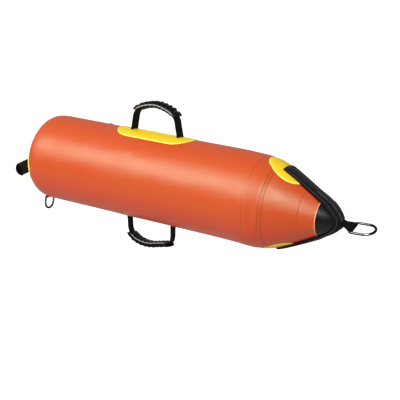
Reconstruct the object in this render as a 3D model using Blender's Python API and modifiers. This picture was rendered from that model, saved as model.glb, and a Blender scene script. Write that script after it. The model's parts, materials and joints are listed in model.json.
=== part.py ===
"""Spearfishing float: an inflatable torpedo hull with a tow ring, a keel ring and three carry handles.

The float lies along X with its nose at +X. Two handles stand at +Z and -Z, and a third is on the tail.
The origin is the middle of the whole float's box. Sizes are in metres.
"""

import math

import bmesh
import bpy
import numpy as np
from mathutils import Matrix, Vector

# Hull: lengths are measured along the float from its tail end, or back from the tip of its nose
HULL_RADIUS = 0.095
HULL_LENGTH = 0.7315
FABRIC = 0.0012
GAP = 0.0003
EMPTY_SIZE = 0.01
FACETS_AROUND = 36

# Outline points along each stretch of the hull, and how far layers and cutters run past what they cut
TAIL_POINTS = 9
SHOULDER_POINTS = 4
CONE_POINTS = 4
TIP_POINTS = 6
CUT_MARGIN = 0.010
CUT_THROUGH = 0.040

TAIL_DEPTH = 0.057
TAIL_SQUARENESS = 5.0
TAIL_SEAM_RADIUS = 0.074
TAIL_LAP = 0.008

NOSE_LENGTH = 0.189
SHOULDER_LENGTH = 0.070
TIP_RADIUS = 0.0137
CONE_BULGE = 1.30
TIP_LENGTH = 0.028
TIP_SQUARENESS = 2.8
TUBE_EDGE_FROM_TIP = 0.1357
NOSE_LAP = 0.038
DROOP_FROM_TIP = 0.225
DROOP_SLOPE = 0.050

# Layers on the nose
PATCH = 0.0010
BUMPER_WALL = 0.0016
BUMPER_LENGTH = 0.0407
STRAP = 0.0018
STRAP_WIDTH = 0.052
STRAP_FROM_TIP = 0.1272
NOSE_PATCH_RADIUS = 0.0435
NOSE_PATCH_FROM_TIP = 0.1230

# Handles: paths are (along the handle, height above the fabric) from the middle between its feet,
# and a grip can sit a little off the middle of its strap
HANDLE_FROM_TAIL = 0.2888
HANDLE_PATCH_LENGTH = 0.190
HANDLE_PATCH_WIDTH = 0.0835
LOWER_PATCH_WIDTH = 0.0480
TAIL_PATCH_LENGTH = 0.180
WEBBING_WIDTH = 0.0235
WEBBING = 0.0028
STRAP_SECTIONS = 36
FOOT_SECTIONS = 5
PATH_STEP = 0.0005
TAIL_HANDLE_ROLL = math.radians(10)
TAIL_HANDLE_DROOP = math.radians(25)
TAIL_HANDLE_LOWERED = 0.014
TAIL_PATCH_LOWERED = 0.008
TAIL_HANDLE_TALLER = 1.3
HANGING_GRIP_SLIP = -0.003
UPRIGHT_PATH = (
    (-0.0590, 0.000), (-0.0575, 0.020), (-0.0545, 0.0385), (-0.0410, 0.0525), (-0.0040, 0.0610),
    (0.0330, 0.0525), (0.0470, 0.0385), (0.0530, 0.020), (0.0590, 0.000),
)
HANGING_PATH = (
    (-0.0560, 0.000), (-0.0545, 0.018), (-0.0490, 0.0340), (-0.0337, 0.0470), (0.0010, 0.0545),
    (0.0304, 0.0490), (0.0560, 0.0400), (0.0625, 0.0240), (0.0575, 0.000),
)

TAIL_PATH = [(along, TAIL_HANDLE_TALLER * height) for along, height in UPRIGHT_PATH]

# Grips: a moulded sleeve with finger scallops, split along its sides, with a flared lip at each end
GRIP_LENGTH = 0.108
GRIP_WIDTH = 0.029
GRIP_OUTER = 0.0085
GRIP_INNER = 0.0060
GRIP_SCALLOPS = 10
SCALLOP_DEPTH = 0.0022
SCALLOP_PINCH = 0.12
RIPPLE_DEPTH = 0.0010
LIP_LENGTH = 0.011
LIP_FLARE = 0.0015
LIP_WIDENING = 0.0005
GRIP_SQUARENESS = 0.55
GRIP_SIDES = 12
SECTIONS_PER_SCALLOP = 4
SLOT_PAST_END = 0.009

# Tow loop and ring
TOW_ROLL = math.radians(18)
TOW_PITCH = math.radians(15)
TOW_REACH = 0.018
TOW_LOOP_WIDTH = 0.029
TOW_WIRE = 0.0051
TOW_RING_WIDTH = 0.0450
TOW_RING_LENGTH = 0.0475
RING_CORNER = 0.004
RING_STEPS = 14
CORNER_STEPS = 4

# Keel ring
KEEL_SEAT_RADIUS = 0.0885
KEEL_REACH = 0.0108
KEEL_PATCH_RADIUS = 0.024
KEEL_TAB_WIDTH = 0.021
KEEL_WIRE = 0.0042
KEEL_RING_WIDTH = 0.0330
KEEL_RING_LENGTH = 0.0304
LOOP_WEBBING = 0.0016
LOOP_FOLD = 0.0002
LOOP_STEPS = 9

# Inflation valve, on the side of the hull away from the handles' plane
VALVE_FROM_TAIL = 0.118
VALVE_ANGLE = math.radians(-45)
VALVE_FLANGE_RADIUS = 0.019
VALVE_FLANGE = 0.0015
NECK_RADIUS = 0.0130
NECK_WALL = 0.0016
NECK_TOP = 0.0045
NECK_DEPTH = 0.0100
INSERT_RIM = 0.0016
INSERT_WALL = 0.0014
SEAT_HEIGHT = -0.0055
SEAT_PLATE = 0.0014
SEAT_HOLE_RADIUS = 0.0023
SEAT_HOLES = 5
STEM_RADIUS = 0.0016
DIAPHRAGM_RADIUS = 0.0088
DIAPHRAGM = 0.0009
DIAPHRAGM_CROWN = 0.00144
DIAPHRAGM_TRAVEL = 0.0020
KNOB_RADIUS = 0.0027
KNOB_HEIGHT = 0.0016
SEAL_WIRE = 0.0012
CAP_HEIGHT = 0.0042
CAP_CHAMFER = 0.0010
CAP_GROOVE = 0.0010
CAP_GROOVE_HEIGHT = 0.0022
PLUG_DEPTH = 0.0030
PLUG_WALL = 0.0014
PLUG_HOLLOW = 0.0012
FINGER_BAR = (0.0195, 0.0030, 0.0036)
FINGER_BAR_LIFT = 0.0010
TETHER = 0.0008
TETHER_WIDTH = 0.0050
TETHER_RIM = 0.0020
TETHER_REACH = 0.0030
TETHER_OVERLAP = 0.0008
TETHER_CLEARANCE = 0.0009
VALVE_SIDES = 24

# The tail handle's crest and the tow ring's end set the float's whole length
TAIL_HANDLE_RISE = max(height for _, height in TAIL_PATH) + GRIP_OUTER
TAIL_HANDLE_CREST = TAIL_HANDLE_RISE * math.cos(TAIL_HANDLE_DROOP) + GRIP_WIDTH / 2 * math.sin(TAIL_HANDLE_DROOP)
LAYERS_AT_TIP = GAP + BUMPER_WALL + GAP + STRAP
LOOP_ROOT_RADIUS = LOOP_WEBBING + LOOP_FOLD
TOW_ROOT_FROM_TAIL = HULL_LENGTH + LAYERS_AT_TIP + GAP + LOOP_ROOT_RADIUS
FLOAT_LENGTH = TAIL_HANDLE_CREST + TOW_ROOT_FROM_TAIL + TOW_REACH + TOW_RING_LENGTH
TAIL_X = TAIL_HANDLE_CREST - FLOAT_LENGTH / 2

ORANGE = ("float_orange", (0.76, 0.13, 0.035), 0.38, 0.0)
YELLOW = ("patch_yellow", (0.90, 0.66, 0.03), 0.45, 0.0)
BLACK_RUBBER = ("bumper_black", (0.018, 0.018, 0.020), 0.40, 0.0)
GRIP_RUBBER = ("grip_black", (0.014, 0.014, 0.014), 0.55, 0.0)
WEBBING_BLACK = ("webbing_black", (0.016, 0.015, 0.018), 0.75, 0.0)
STEEL = ("ring_steel", (0.62, 0.62, 0.62), 0.18, 1.0)
VALVE_PLASTIC = ("valve_black", (0.03, 0.03, 0.03), 0.45, 0.0)
SEAL_RUBBER = ("seal_grey", (0.20, 0.20, 0.20), 0.60, 0.0)


def clear_scene():
    for obj in list(bpy.data.objects):
        bpy.data.objects.remove(obj)


def collection(name):
    made = bpy.data.collections.new(name)
    bpy.context.scene.collection.children.link(made)
    return made


def material(finish):
    name, colour, roughness, metallic = finish
    found = bpy.data.materials.get(name)
    if found:
        return found
    made = bpy.data.materials.new(name)
    made.use_nodes = True
    shader = made.node_tree.nodes["Principled BSDF"]
    shader.inputs["Base Color"].default_value = (*colour, 1.0)
    shader.inputs["Roughness"].default_value = roughness
    shader.inputs["Metallic"].default_value = metallic
    return made


def keep(name, data, finish, place=None):
    """A part of the float, with its material, placed by a matrix."""
    obj = bpy.data.objects.new(name, data)
    PARTS.objects.link(obj)
    obj.data.materials.clear()
    obj.data.materials.append(material(finish))
    if place is not None:
        obj.matrix_world = place
    return obj


def as_mesh(obj):
    """The object with its modifiers applied and its points welded, as a plain mesh in world space."""
    bpy.context.view_layer.update()
    graph = bpy.context.evaluated_depsgraph_get()
    mesh = bpy.data.meshes.new_from_object(obj.evaluated_get(graph))
    mesh.transform(obj.matrix_world)
    work = bmesh.new()
    work.from_mesh(mesh)
    bmesh.ops.remove_doubles(work, verts=work.verts, dist=1e-6)
    work.to_mesh(mesh)
    work.free()
    name = obj.name
    held_in = obj.users_collection[0]
    materials = list(obj.data.materials)
    bpy.data.objects.remove(obj)
    mesh.name = name
    mesh.materials.clear()
    for used in materials:
        mesh.materials.append(used)
    plain = bpy.data.objects.new(name, mesh)
    held_in.objects.link(plain)
    return plain


def cutter(name, mesh, place=None):
    obj = bpy.data.objects.new(name, mesh)
    CUTTERS.objects.link(obj)
    obj.hide_render = True
    obj.display_type = "WIRE"
    if place is not None:
        obj.matrix_world = place
    return obj


def combine(obj, other, operation):
    modifier = obj.modifiers.new(f"{operation.lower()}_{other.name}", "BOOLEAN")
    modifier.operation = operation
    modifier.solver = "EXACT"
    modifier.object = other
    return obj


def joined(obj, others):
    """The object fused with others into one plain mesh; the others are used up."""
    for other in others:
        combine(obj, other, "UNION")
    fused = as_mesh(obj)
    for other in others:
        bpy.data.objects.remove(other)
    return fused


def hinged(name, place, pieces, parent=None):
    """An empty on a joint's axis, carrying the pieces that move about it, which stay where they are."""
    pivot = bpy.data.objects.new(name, None)
    PARTS.objects.link(pivot)
    pivot.empty_display_size = EMPTY_SIZE
    pivot.parent = parent
    pivot.matrix_world = place
    bpy.context.view_layer.update()
    for piece in pieces:
        placed = piece.matrix_world.copy()
        piece.parent = pivot
        piece.matrix_world = placed
    return pivot


def smooth(obj):
    obj.data.shade_smooth()
    obj.data.set_sharp_from_angle(angle=math.radians(35))
    return obj


def block(name, size):
    mesh = bpy.data.meshes.new(name)
    work = bmesh.new()
    bmesh.ops.create_cube(work, size=1.0)
    bmesh.ops.scale(work, vec=size, verts=work.verts)
    work.to_mesh(mesh)
    work.free()
    return mesh


def rod(name, radius, length, sides=24):
    """A cylinder along Z about its own middle."""
    mesh = bpy.data.meshes.new(name)
    work = bmesh.new()
    bmesh.ops.create_cone(
        work, cap_ends=True, segments=sides, radius1=radius, radius2=radius, depth=length
    )
    work.to_mesh(mesh)
    work.free()
    return mesh


def turned(name, loop, finish, place=None, sides=FACETS_AROUND):
    """A closed loop of (radius, height) turned about Z. It runs down its outer side and up its inner side."""
    mesh = bpy.data.meshes.new(name)
    work = bmesh.new()
    points = [work.verts.new((radius, 0.0, height)) for radius, height in loop]
    for first, second in zip(points, points[1:] + points[:1]):
        if first.co.x > 0 or second.co.x > 0:
            work.edges.new((first, second))
    work.to_mesh(mesh)
    work.free()
    obj = keep(name, mesh, finish, place)
    screw = obj.modifiers.new("turn", "SCREW")
    screw.axis = "Z"
    screw.steps = sides
    screw.render_steps = sides
    screw.use_merge_vertices = True
    screw.merge_threshold = 0.00001
    return obj


# Local Z of a turned hull piece lies along the float, with facets facing straight up, down and sideways
HALF_FACET = Matrix.Rotation(math.pi / FACETS_AROUND, 4, "X")
ALONG_FLOAT = HALF_FACET @ Matrix.Rotation(math.pi / 2, 4, "Y")


def nose_slope():
    """The cone's slope where its shoulder ends, so that the cone comes down to the tip's radius."""
    cone = NOSE_LENGTH - SHOULDER_LENGTH
    return (HULL_RADIUS - TIP_RADIUS) / (SHOULDER_LENGTH / 2 + cone * (1 + CONE_BULGE) / 2)


def nose_radius(behind_tip):
    """The hull's radius at a distance behind the tip, before the tip itself is rounded."""
    slope = nose_slope()
    into = NOSE_LENGTH - behind_tip
    if into <= 0:
        return HULL_RADIUS
    if into <= SHOULDER_LENGTH:
        return HULL_RADIUS - slope * into**2 / (2 * SHOULDER_LENGTH)
    past = into - SHOULDER_LENGTH
    growth = slope * (CONE_BULGE - 1) / (NOSE_LENGTH - SHOULDER_LENGTH)
    return HULL_RADIUS - slope * SHOULDER_LENGTH / 2 - slope * past - growth * past**2 / 2


def tail_drop(radius):
    """How far the tail's surface lies in front of its end plane, at a distance from the axis."""
    share = min(radius / HULL_RADIUS, 1.0)
    return TAIL_DEPTH * (1 - (1 - share**TAIL_SQUARENESS) ** (1 / TAIL_SQUARENESS))


def hull_outline():
    """Points (x, radius) along the hull's skin, from the middle of the tail to the tip of the nose."""
    points = []
    for angle in np.linspace(0, math.pi / 2, TAIL_POINTS):
        power = 2 / TAIL_SQUARENESS
        along = TAIL_DEPTH * (1 - max(math.cos(angle), 0.0) ** power)
        points.append((along, HULL_RADIUS * math.sin(angle) ** power))
    points[-1] = (TAIL_DEPTH, HULL_RADIUS)
    points.append((HULL_LENGTH - DROOP_FROM_TIP, HULL_RADIUS))
    shoulder = np.linspace(0, SHOULDER_LENGTH, SHOULDER_POINTS)
    cone = np.linspace(SHOULDER_LENGTH, NOSE_LENGTH - TIP_LENGTH, CONE_POINTS)[1:]
    for into in np.concatenate([shoulder, cone]):
        points.append((HULL_LENGTH - NOSE_LENGTH + into, nose_radius(NOSE_LENGTH - into)))
    for angle in np.linspace(0, math.pi / 2, TIP_POINTS)[1:]:
        power = 2 / TIP_SQUARENESS
        into = TIP_LENGTH * math.sin(angle) ** power
        shrink = max(math.cos(angle), 0.0) ** power
        points.append((HULL_LENGTH - TIP_LENGTH + into, nose_radius(TIP_LENGTH - into) * shrink))
    points[-1] = (HULL_LENGTH, 0.0)
    return np.array([(x + TAIL_X, radius) for x, radius in points])


OUTLINE = hull_outline()
ARC = np.concatenate([[0], np.cumsum(np.linalg.norm(np.diff(OUTLINE, axis=0), axis=1))])


def offset_outline(offset):
    """The outline moved out along its normals, so that layers lie parallel with even gaps."""
    way = np.diff(OUTLINE, axis=0)
    way /= np.linalg.norm(way, axis=1)[:, None]
    normals = np.stack([-way[:, 1], way[:, 0]], axis=1)
    inner = (normals[:-1] + normals[1:]) / (1 + np.sum(normals[:-1] * normals[1:], axis=1))[:, None]
    moved = OUTLINE.copy()
    moved[1:-1] += inner * offset
    moved[0, 0] -= offset
    moved[-1, 0] += offset
    return moved


def layer(offset, start, end):
    """Points (radius, x) of the outline's offset between two distances along the skin, nose end first."""
    moved = offset_outline(offset)
    inside = (ARC > start + 1e-6) & (ARC < end - 1e-6)
    stops = np.concatenate([[start], ARC[inside], [end]])
    xs = np.interp(stops, ARC, moved[:, 0])
    radii = np.maximum(np.interp(stops, ARC, moved[:, 1]), 0)
    return [(float(radius), float(x)) for radius, x in zip(radii, xs)][::-1]


def skin_at(from_tail):
    """The distance along the skin to a place on the tube or the nose."""
    front = OUTLINE[:, 0] >= TAIL_X + TAIL_DEPTH - 1e-6
    return float(np.interp(from_tail + TAIL_X, OUTLINE[front, 0], ARC[front]))


def skin_at_tail_radius(radius):
    """The distance along the skin to a place on the tail, at a distance from the axis."""
    rear = OUTLINE[:, 0] <= TAIL_X + TAIL_DEPTH + 1e-6
    return float(np.interp(radius, OUTLINE[rear, 1], ARC[rear]))


def droop(x):
    """How far the nose's axis hangs below the hull's at a place along it."""
    return DROOP_SLOPE * max(0.0, x - (TAIL_X + HULL_LENGTH - DROOP_FROM_TIP))


def drooped(obj):
    """The piece with its front sheared down, as the filled nose hangs."""
    plain = as_mesh(obj)
    for point in plain.data.vertices:
        point.co.z -= droop(point.co.x)
    return smooth(plain)


def shell(name, outer, inner, start, end, finish):
    """A turned layer of the hull between two offsets and two distances along its skin."""
    loop = layer(outer, start, end) + layer(inner, start, end)[::-1]
    return turned(name, loop, finish, ALONG_FLOAT)


def make_tube():
    lip = skin_at_tail_radius(TAIL_SEAM_RADIUS)
    edge = skin_at(HULL_LENGTH - TUBE_EDGE_FROM_TIP)
    tube = shell("hull_tube", 0.0, -FABRIC, lip, edge, ORANGE)
    hole = cutter("valve_hole", rod("valve_hole", NECK_RADIUS + GAP, CUT_THROUGH), valve_frame())
    return drooped(combine(tube, hole, "DIFFERENCE"))


def make_tail_cap():
    """The end disc, flush with the tube, with its rim welded under the tube's lip."""
    lip = skin_at_tail_radius(TAIL_SEAM_RADIUS)
    lower = FABRIC + GAP
    rim = lip + TAIL_LAP
    loop = layer(-lower, lip - GAP, rim) + layer(0.0, 0.0, lip - GAP)
    loop += layer(-FABRIC, 0.0, lip - GAP - FABRIC)[::-1]
    loop += layer(-lower - FABRIC, lip - GAP - FABRIC, rim)[::-1]
    return smooth(turned("tail_cap", loop, ORANGE, ALONG_FLOAT))


def make_cone():
    """The nose cone, flush with the tube, with its skirt welded under the tube's edge."""
    edge = skin_at(HULL_LENGTH - TUBE_EDGE_FROM_TIP)
    skirt = skin_at(HULL_LENGTH - TUBE_EDGE_FROM_TIP - NOSE_LAP)
    lower = FABRIC + GAP
    tip = float(ARC[-1])
    loop = layer(0.0, edge + GAP, tip) + layer(-lower, skirt, edge + GAP)
    loop += layer(-lower - FABRIC, skirt, edge + GAP + FABRIC)[::-1]
    loop += layer(-FABRIC, edge + GAP + FABRIC, tip)[::-1]
    return drooped(turned("nose_cone", loop, ORANGE, ALONG_FLOAT))


def make_bumper():
    edge = skin_at(HULL_LENGTH - BUMPER_LENGTH)
    bumper = shell("nose_bumper", GAP + BUMPER_WALL, GAP, edge, float(ARC[-1]), BLACK_RUBBER)
    return drooped(bumper)


def make_strap():
    """Wide webbing welded over the tip of the nose, from one nose patch to the other."""
    end = skin_at(HULL_LENGTH - STRAP_FROM_TIP)
    under = GAP + BUMPER_WALL + GAP
    strap = shell("nose_strap", under + STRAP, under, end, float(ARC[-1]), WEBBING_BLACK)
    slab = cutter("strap_width", block("strap_width", (3 * HULL_LENGTH, STRAP_WIDTH, 1.0)))
    return drooped(combine(strap, slab, "INTERSECT"))


def make_nose_patch(name, side):
    middle = HULL_LENGTH - NOSE_PATCH_FROM_TIP
    start = skin_at(middle - NOSE_PATCH_RADIUS - CUT_MARGIN)
    end = skin_at(middle + NOSE_PATCH_RADIUS + CUT_MARGIN)
    patch = shell(name, GAP + PATCH, GAP, start, end, YELLOW)
    place = Matrix.Translation((TAIL_X + middle, 0, side * HULL_RADIUS))
    disc = cutter(name + "_outline", rod(name, NOSE_PATCH_RADIUS, HULL_RADIUS * 1.6, 40), place)
    return drooped(combine(patch, disc, "INTERSECT"))


def stadium(name, length, width, depth, steps=12):
    """A solid with round ends, lying along X, as deep as asked along Z."""
    radius = width / 2
    outline = []
    for end in (1, -1):
        for angle in np.linspace(-math.pi / 2, math.pi / 2, steps):
            x = end * (length / 2 - radius + radius * math.cos(angle))
            outline.append((x, end * radius * math.sin(angle)))
    mesh = bpy.data.meshes.new(name)
    work = bmesh.new()
    floor = work.faces.new([work.verts.new((x, y, -depth / 2)) for x, y in outline])
    grown = bmesh.ops.extrude_face_region(work, geom=[floor])
    moved = [item for item in grown["geom"] if isinstance(item, bmesh.types.BMVert)]
    bmesh.ops.translate(work, vec=(0, 0, depth), verts=moved)
    bmesh.ops.recalc_face_normals(work, faces=work.faces)
    work.to_mesh(mesh)
    work.free()
    return mesh


def handle_frame(side):
    """Local X lies along the float and local Z points out of the hull, on the skin between the feet."""
    place = Matrix.Translation((TAIL_X + HANDLE_FROM_TAIL, 0, 0))
    turn = Matrix.Rotation(0 if side > 0 else math.pi, 4, "X")
    return place @ turn @ Matrix.Translation((0, 0, HULL_RADIUS))


def tail_frame(lowered):
    """Local Z points out of the tail, and local X lies across it, rolled about the float's axis."""
    out = Vector((-1, 0, 0))
    across = Vector((0, -math.cos(TAIL_HANDLE_ROLL), -math.sin(TAIL_HANDLE_ROLL)))
    third = out.cross(across)
    turn = Matrix((across, third, out)).transposed().to_4x4()
    return Matrix.Translation((TAIL_X, 0, -lowered)) @ turn


def drooping(frame, surface):
    """A handle's frame, turned about the line through its feet as the handle hangs by its own weight."""
    pivot = Matrix.Translation((0, 0, pivot_height(surface)))
    return frame @ pivot @ Matrix.Rotation(TAIL_HANDLE_DROOP, 4, "X") @ pivot.inverted()


def make_handle_patch(name, frame, start, end, length, width):
    patch = shell(name, GAP + PATCH, GAP, start, end, YELLOW)
    outline = stadium(name, length, width, HULL_RADIUS)
    shape = cutter(name + "_outline", outline, frame)
    return smooth(as_mesh(combine(patch, shape, "INTERSECT")))


def make_handle_patches():
    first = skin_at(HANDLE_FROM_TAIL - HANDLE_PATCH_LENGTH / 2 - CUT_MARGIN)
    last = skin_at(HANDLE_FROM_TAIL + HANDLE_PATCH_LENGTH / 2 + CUT_MARGIN)
    length = HANDLE_PATCH_LENGTH
    make_handle_patch("top_handle_patch", handle_frame(1), first, last, length, HANDLE_PATCH_WIDTH)
    make_handle_patch("bottom_handle_patch", handle_frame(-1), first, last, length, LOWER_PATCH_WIDTH)
    rear = skin_at_tail_radius(HULL_RADIUS)
    place = tail_frame(TAIL_PATCH_LOWERED)
    make_handle_patch("tail_handle_patch", place, 0.0, rear, TAIL_PATCH_LENGTH, HANDLE_PATCH_WIDTH)


def smooth_path(points):
    """Close points along a smooth curve through the given ones, and the distance along it to each."""
    knots = [Vector((x, 0, z)) for x, z in points]
    knots = [2 * knots[0] - knots[1]] + knots + [2 * knots[-1] - knots[-2]]
    fine = []
    for a, b, c, d in zip(knots, knots[1:], knots[2:], knots[3:]):
        for t in np.linspace(0, 1, 24, endpoint=False):
            bend = (2 * a - 5 * b + 4 * c - d) * t**2 + (3 * b - 3 * c + d - a) * t**3
            fine.append(b + ((c - a) * t + bend) / 2)
    fine.append(knots[-2])
    fine = np.array([(point.x, point.z) for point in fine])
    run = np.concatenate([[0], np.cumsum(np.linalg.norm(np.diff(fine, axis=0), axis=1))])
    return fine, run


def path_at(path, distance):
    """(point, direction) in the handle's plane at a distance along its webbing. It runs on straight past its ends."""
    fine, run = path
    inside = min(max(distance, PATH_STEP), run[-1] - PATH_STEP)
    stops = (inside - PATH_STEP, inside, inside + PATH_STEP)
    before, here, after = [np.array([np.interp(stop, run, fine[:, axis]) for axis in (0, 1)]) for stop in stops]
    way = (after - before) / np.linalg.norm(after - before)
    return here + way * (distance - inside), way


def loft(name, rings, finish, place):
    """A closed body from rings of equally many points, capped at both ends."""
    mesh = bpy.data.meshes.new(name)
    work = bmesh.new()
    rows = [[work.verts.new(point) for point in ring] for ring in rings]
    for low, high in zip(rows, rows[1:]):
        for i in range(len(low)):
            j = (i + 1) % len(low)
            work.faces.new((low[i], low[j], high[j], high[i]))
    work.faces.new(rows[0][::-1])
    work.faces.new(rows[-1])
    bmesh.ops.recalc_face_normals(work, faces=work.faces)
    work.to_mesh(mesh)
    work.free()
    return smooth(keep(name, mesh, finish, place))


def strap_stops(path, lift):
    """Distances along a handle's path at which its strap has a section: close together at its round feet."""
    half = WEBBING_WIDTH / 2
    total = path[1][-1]
    angles = np.linspace(0.25, math.pi / 2, FOOT_SECTIONS)
    foot = [lift + half * (1 - math.cos(angle)) for angle in angles]
    between = np.linspace(lift + half, total - lift - half, STRAP_SECTIONS)[1:-1]
    return foot + list(between) + [total - stop for stop in reversed(foot)]


def strap_ring(path, stop, half_width, half_thickness):
    """The four corners of a flat section across the path, in the handle's frame."""
    here, way = path_at(path, stop)
    out = np.array([-way[1], way[0]]) * half_thickness
    ring = []
    for across, side in ((-1, -1), (1, -1), (1, 1), (-1, 1)):
        ring.append((here[0] + side * out[0], across * half_width, here[1] + side * out[1]))
    return ring


def make_webbing(name, path, frame, lift):
    """The handle's strap: flat webbing whose feet end in half rounds about the line on which it turns."""
    half = WEBBING_WIDTH / 2
    total = path[1][-1]
    rings = []
    for stop in strap_stops(path, lift):
        reach = max(half - min(stop, total - stop) + lift, 0.0)
        width = math.sqrt(max(half**2 - reach**2, 0.0))
        rings.append(strap_ring(path, stop, width, WEBBING / 2))
    return loft(name, rings, WEBBING_BLACK, frame)


def grip_section(across, outer, inner):
    """Points (across, out) round a grip's section: a rounded slab, fuller on its outer side."""
    points = []
    for angle in np.linspace(0, 2 * math.pi, GRIP_SIDES, endpoint=False):
        c, s = math.cos(angle), math.sin(angle)
        y = math.copysign(abs(c) ** GRIP_SQUARENESS, c) * across
        z = math.copysign(abs(s) ** GRIP_SQUARENESS, s) * (outer if s > 0 else inner)
        points.append((y, z))
    return points


def make_grip(name, path, frame, lift, slip):
    """A moulded sleeve round the webbing. Its outer side swells between finger scallops, its inner side
    ripples, and each end flares into a lip."""
    start = path[1][-1] / 2 + slip - GRIP_LENGTH / 2
    rings = []
    steps = SECTIONS_PER_SCALLOP * GRIP_SCALLOPS
    for i in range(steps + 1):
        share = i / steps
        here, way = path_at(path, start + share * GRIP_LENGTH)
        out = np.array([-way[1], way[0]])
        out *= math.copysign(1, out[1])
        to_end = min(share, 1 - share) * GRIP_LENGTH
        flare = max(0.0, 1 - to_end / LIP_LENGTH) ** 2
        wave = abs(math.cos(math.pi * share * GRIP_SCALLOPS))
        ripple = 0.5 - 0.5 * math.cos(2 * math.pi * share * GRIP_SCALLOPS)
        outer = GRIP_OUTER - SCALLOP_DEPTH * wave**3 * (1 - flare) + LIP_FLARE * flare
        inner = GRIP_INNER - RIPPLE_DEPTH * ripple * (1 - flare)
        across = GRIP_WIDTH / 2 * (1 - SCALLOP_PINCH * wave * (1 - flare)) + LIP_WIDENING * flare
        ring = []
        for y, z in grip_section(across, outer, inner):
            ring.append((here[0] + out[0] * z, y, here[1] + out[1] * z))
        rings.append(ring)
    grip = loft(name, rings, GRIP_RUBBER, frame)
    slot = make_slot(name + "_slot", path, frame, lift, start)
    return smooth(as_mesh(combine(grip, slot, "DIFFERENCE")))


def make_slot(name, path, frame, lift, start):
    """The webbing's passage through a grip, with sections where the webbing has them, out past both ends."""
    rings = []
    for stop in strap_stops(path, lift):
        if start - SLOT_PAST_END < stop < start + GRIP_LENGTH + SLOT_PAST_END:
            rings.append(strap_ring(path, stop, WEBBING_WIDTH / 2 + GAP, WEBBING / 2 + GAP))
    slot = loft(name, rings, WEBBING_BLACK, frame)
    PARTS.objects.unlink(slot)
    CUTTERS.objects.link(slot)
    slot.hide_render = True
    slot.display_type = "WIRE"
    return slot


def make_handle(name, points, frame, surface, slip):
    """A strap with its grip. Its feet stand just off the patch, where they turn with the handle."""
    lift = surface + GAP + PATCH + GAP
    path = smooth_path(points)
    webbing = make_webbing(name + "_webbing", path, frame, lift)
    grip = make_grip(name + "_grip", path, frame, lift, slip)
    hinged(name + "_pivot", frame @ Matrix.Translation((0, 0, pivot_height(surface))), [webbing, grip])


def pivot_height(surface):
    """The height, over a handle frame's origin, of the line on which the handle turns."""
    return surface + GAP + PATCH + GAP + WEBBING_WIDTH / 2


def ring_curve(name, width, length, wire, place, finish):
    """A ring of round wire in its local XY plane: a straight bar on the Y axis and a round far end."""
    half = (width - wire) / 2
    corner = min(RING_CORNER, half / 3)
    far = length - wire / 2
    straight = far - half
    points = []
    for angle in np.linspace(-math.pi / 2, math.pi / 2, RING_STEPS):
        points.append((straight + half * math.cos(angle), half * math.sin(angle)))
    for angle in np.linspace(0, math.pi / 2, CORNER_STEPS):
        points.append((corner * (1 - math.sin(angle)), half - corner * (1 - math.cos(angle))))
    mirrored = [(x, -y) for x, y in reversed(points[RING_STEPS:])]
    curve = bpy.data.curves.new(name, "CURVE")
    curve.dimensions = "3D"
    curve.bevel_depth = wire / 2
    curve.bevel_resolution = 2
    spline = curve.splines.new("POLY")
    spline.points.add(len(points) + len(mirrored) - 1)
    for point, (x, y) in zip(spline.points, points + mirrored):
        point.co = (x, y, 0, 1)
        point.tilt = math.pi / 8
    spline.use_cyclic_u = True
    return smooth(as_mesh(keep(name, curve, finish, place)))


def loop_profile(root_radius, bar_radius, reach):
    """The side outline of webbing folded round a bar: two circles and the straight sides between them."""
    lean = math.asin((bar_radius - root_radius) / reach)
    outline = []
    for angle in np.linspace(-math.pi / 2 - lean, math.pi / 2 + lean, LOOP_STEPS):
        outline.append((reach + bar_radius * math.cos(angle), bar_radius * math.sin(angle)))
    for angle in np.linspace(math.pi / 2 + lean, 3 * math.pi / 2 - lean, LOOP_STEPS - 2):
        outline.append((root_radius * math.cos(angle), root_radius * math.sin(angle)))
    return outline


def make_loop(name, width, wire, reach, root_radius, place):
    """Webbing folded round a ring's bar and sewn to itself. It lies along local X, as wide as local Y."""
    bar_hole = wire / 2 + GAP
    curve = bpy.data.curves.new(name, "CURVE")
    curve.dimensions = "2D"
    curve.fill_mode = "BOTH"
    curve.extrude = width / 2
    outer = loop_profile(root_radius, bar_hole + LOOP_WEBBING, reach)
    hole = []
    for angle in np.linspace(0, 2 * math.pi, 2 * LOOP_STEPS, endpoint=False):
        hole.append((reach + bar_hole * math.cos(angle), bar_hole * math.sin(angle)))
    for outline in (outer, hole):
        spline = curve.splines.new("POLY")
        spline.points.add(len(outline) - 1)
        for point, (x, y) in zip(spline.points, outline):
            point.co = (x, y, 0, 1)
        spline.use_cyclic_u = True
    # The outline is drawn in XY and extruded along Z, so it is turned to be extruded along Y
    turn = Matrix.Rotation(math.pi / 2, 4, "X")
    return smooth(as_mesh(keep(name, curve, WEBBING_BLACK, place @ turn)))


def tow_frame():
    """At the root of the tow loop. Local X points ahead and down, and local Y along the ring's bar."""
    x = TAIL_X + TOW_ROOT_FROM_TAIL
    turn = Matrix.Rotation(TOW_ROLL, 4, "X") @ Matrix.Rotation(TOW_PITCH, 4, "Y")
    return Matrix.Translation((x, 0, -droop(x))) @ turn


def make_tow():
    """The loop bends up and down at its root, and the ring lies level in the loop's fold, about which it swings."""
    bar = tow_frame() @ Matrix.Translation((TOW_REACH, 0, 0)) @ Matrix.Rotation(-TOW_PITCH, 4, "Y")
    loop = make_loop("tow_loop", TOW_LOOP_WIDTH, TOW_WIRE, TOW_REACH, LOOP_ROOT_RADIUS, tow_frame())
    ring = ring_curve("tow_ring", TOW_RING_WIDTH, TOW_RING_LENGTH, TOW_WIRE, bar, STEEL)
    root = hinged("tow_loop_pivot", tow_frame(), [loop])
    hinged("tow_ring_pivot", bar, [ring], root)


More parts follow.
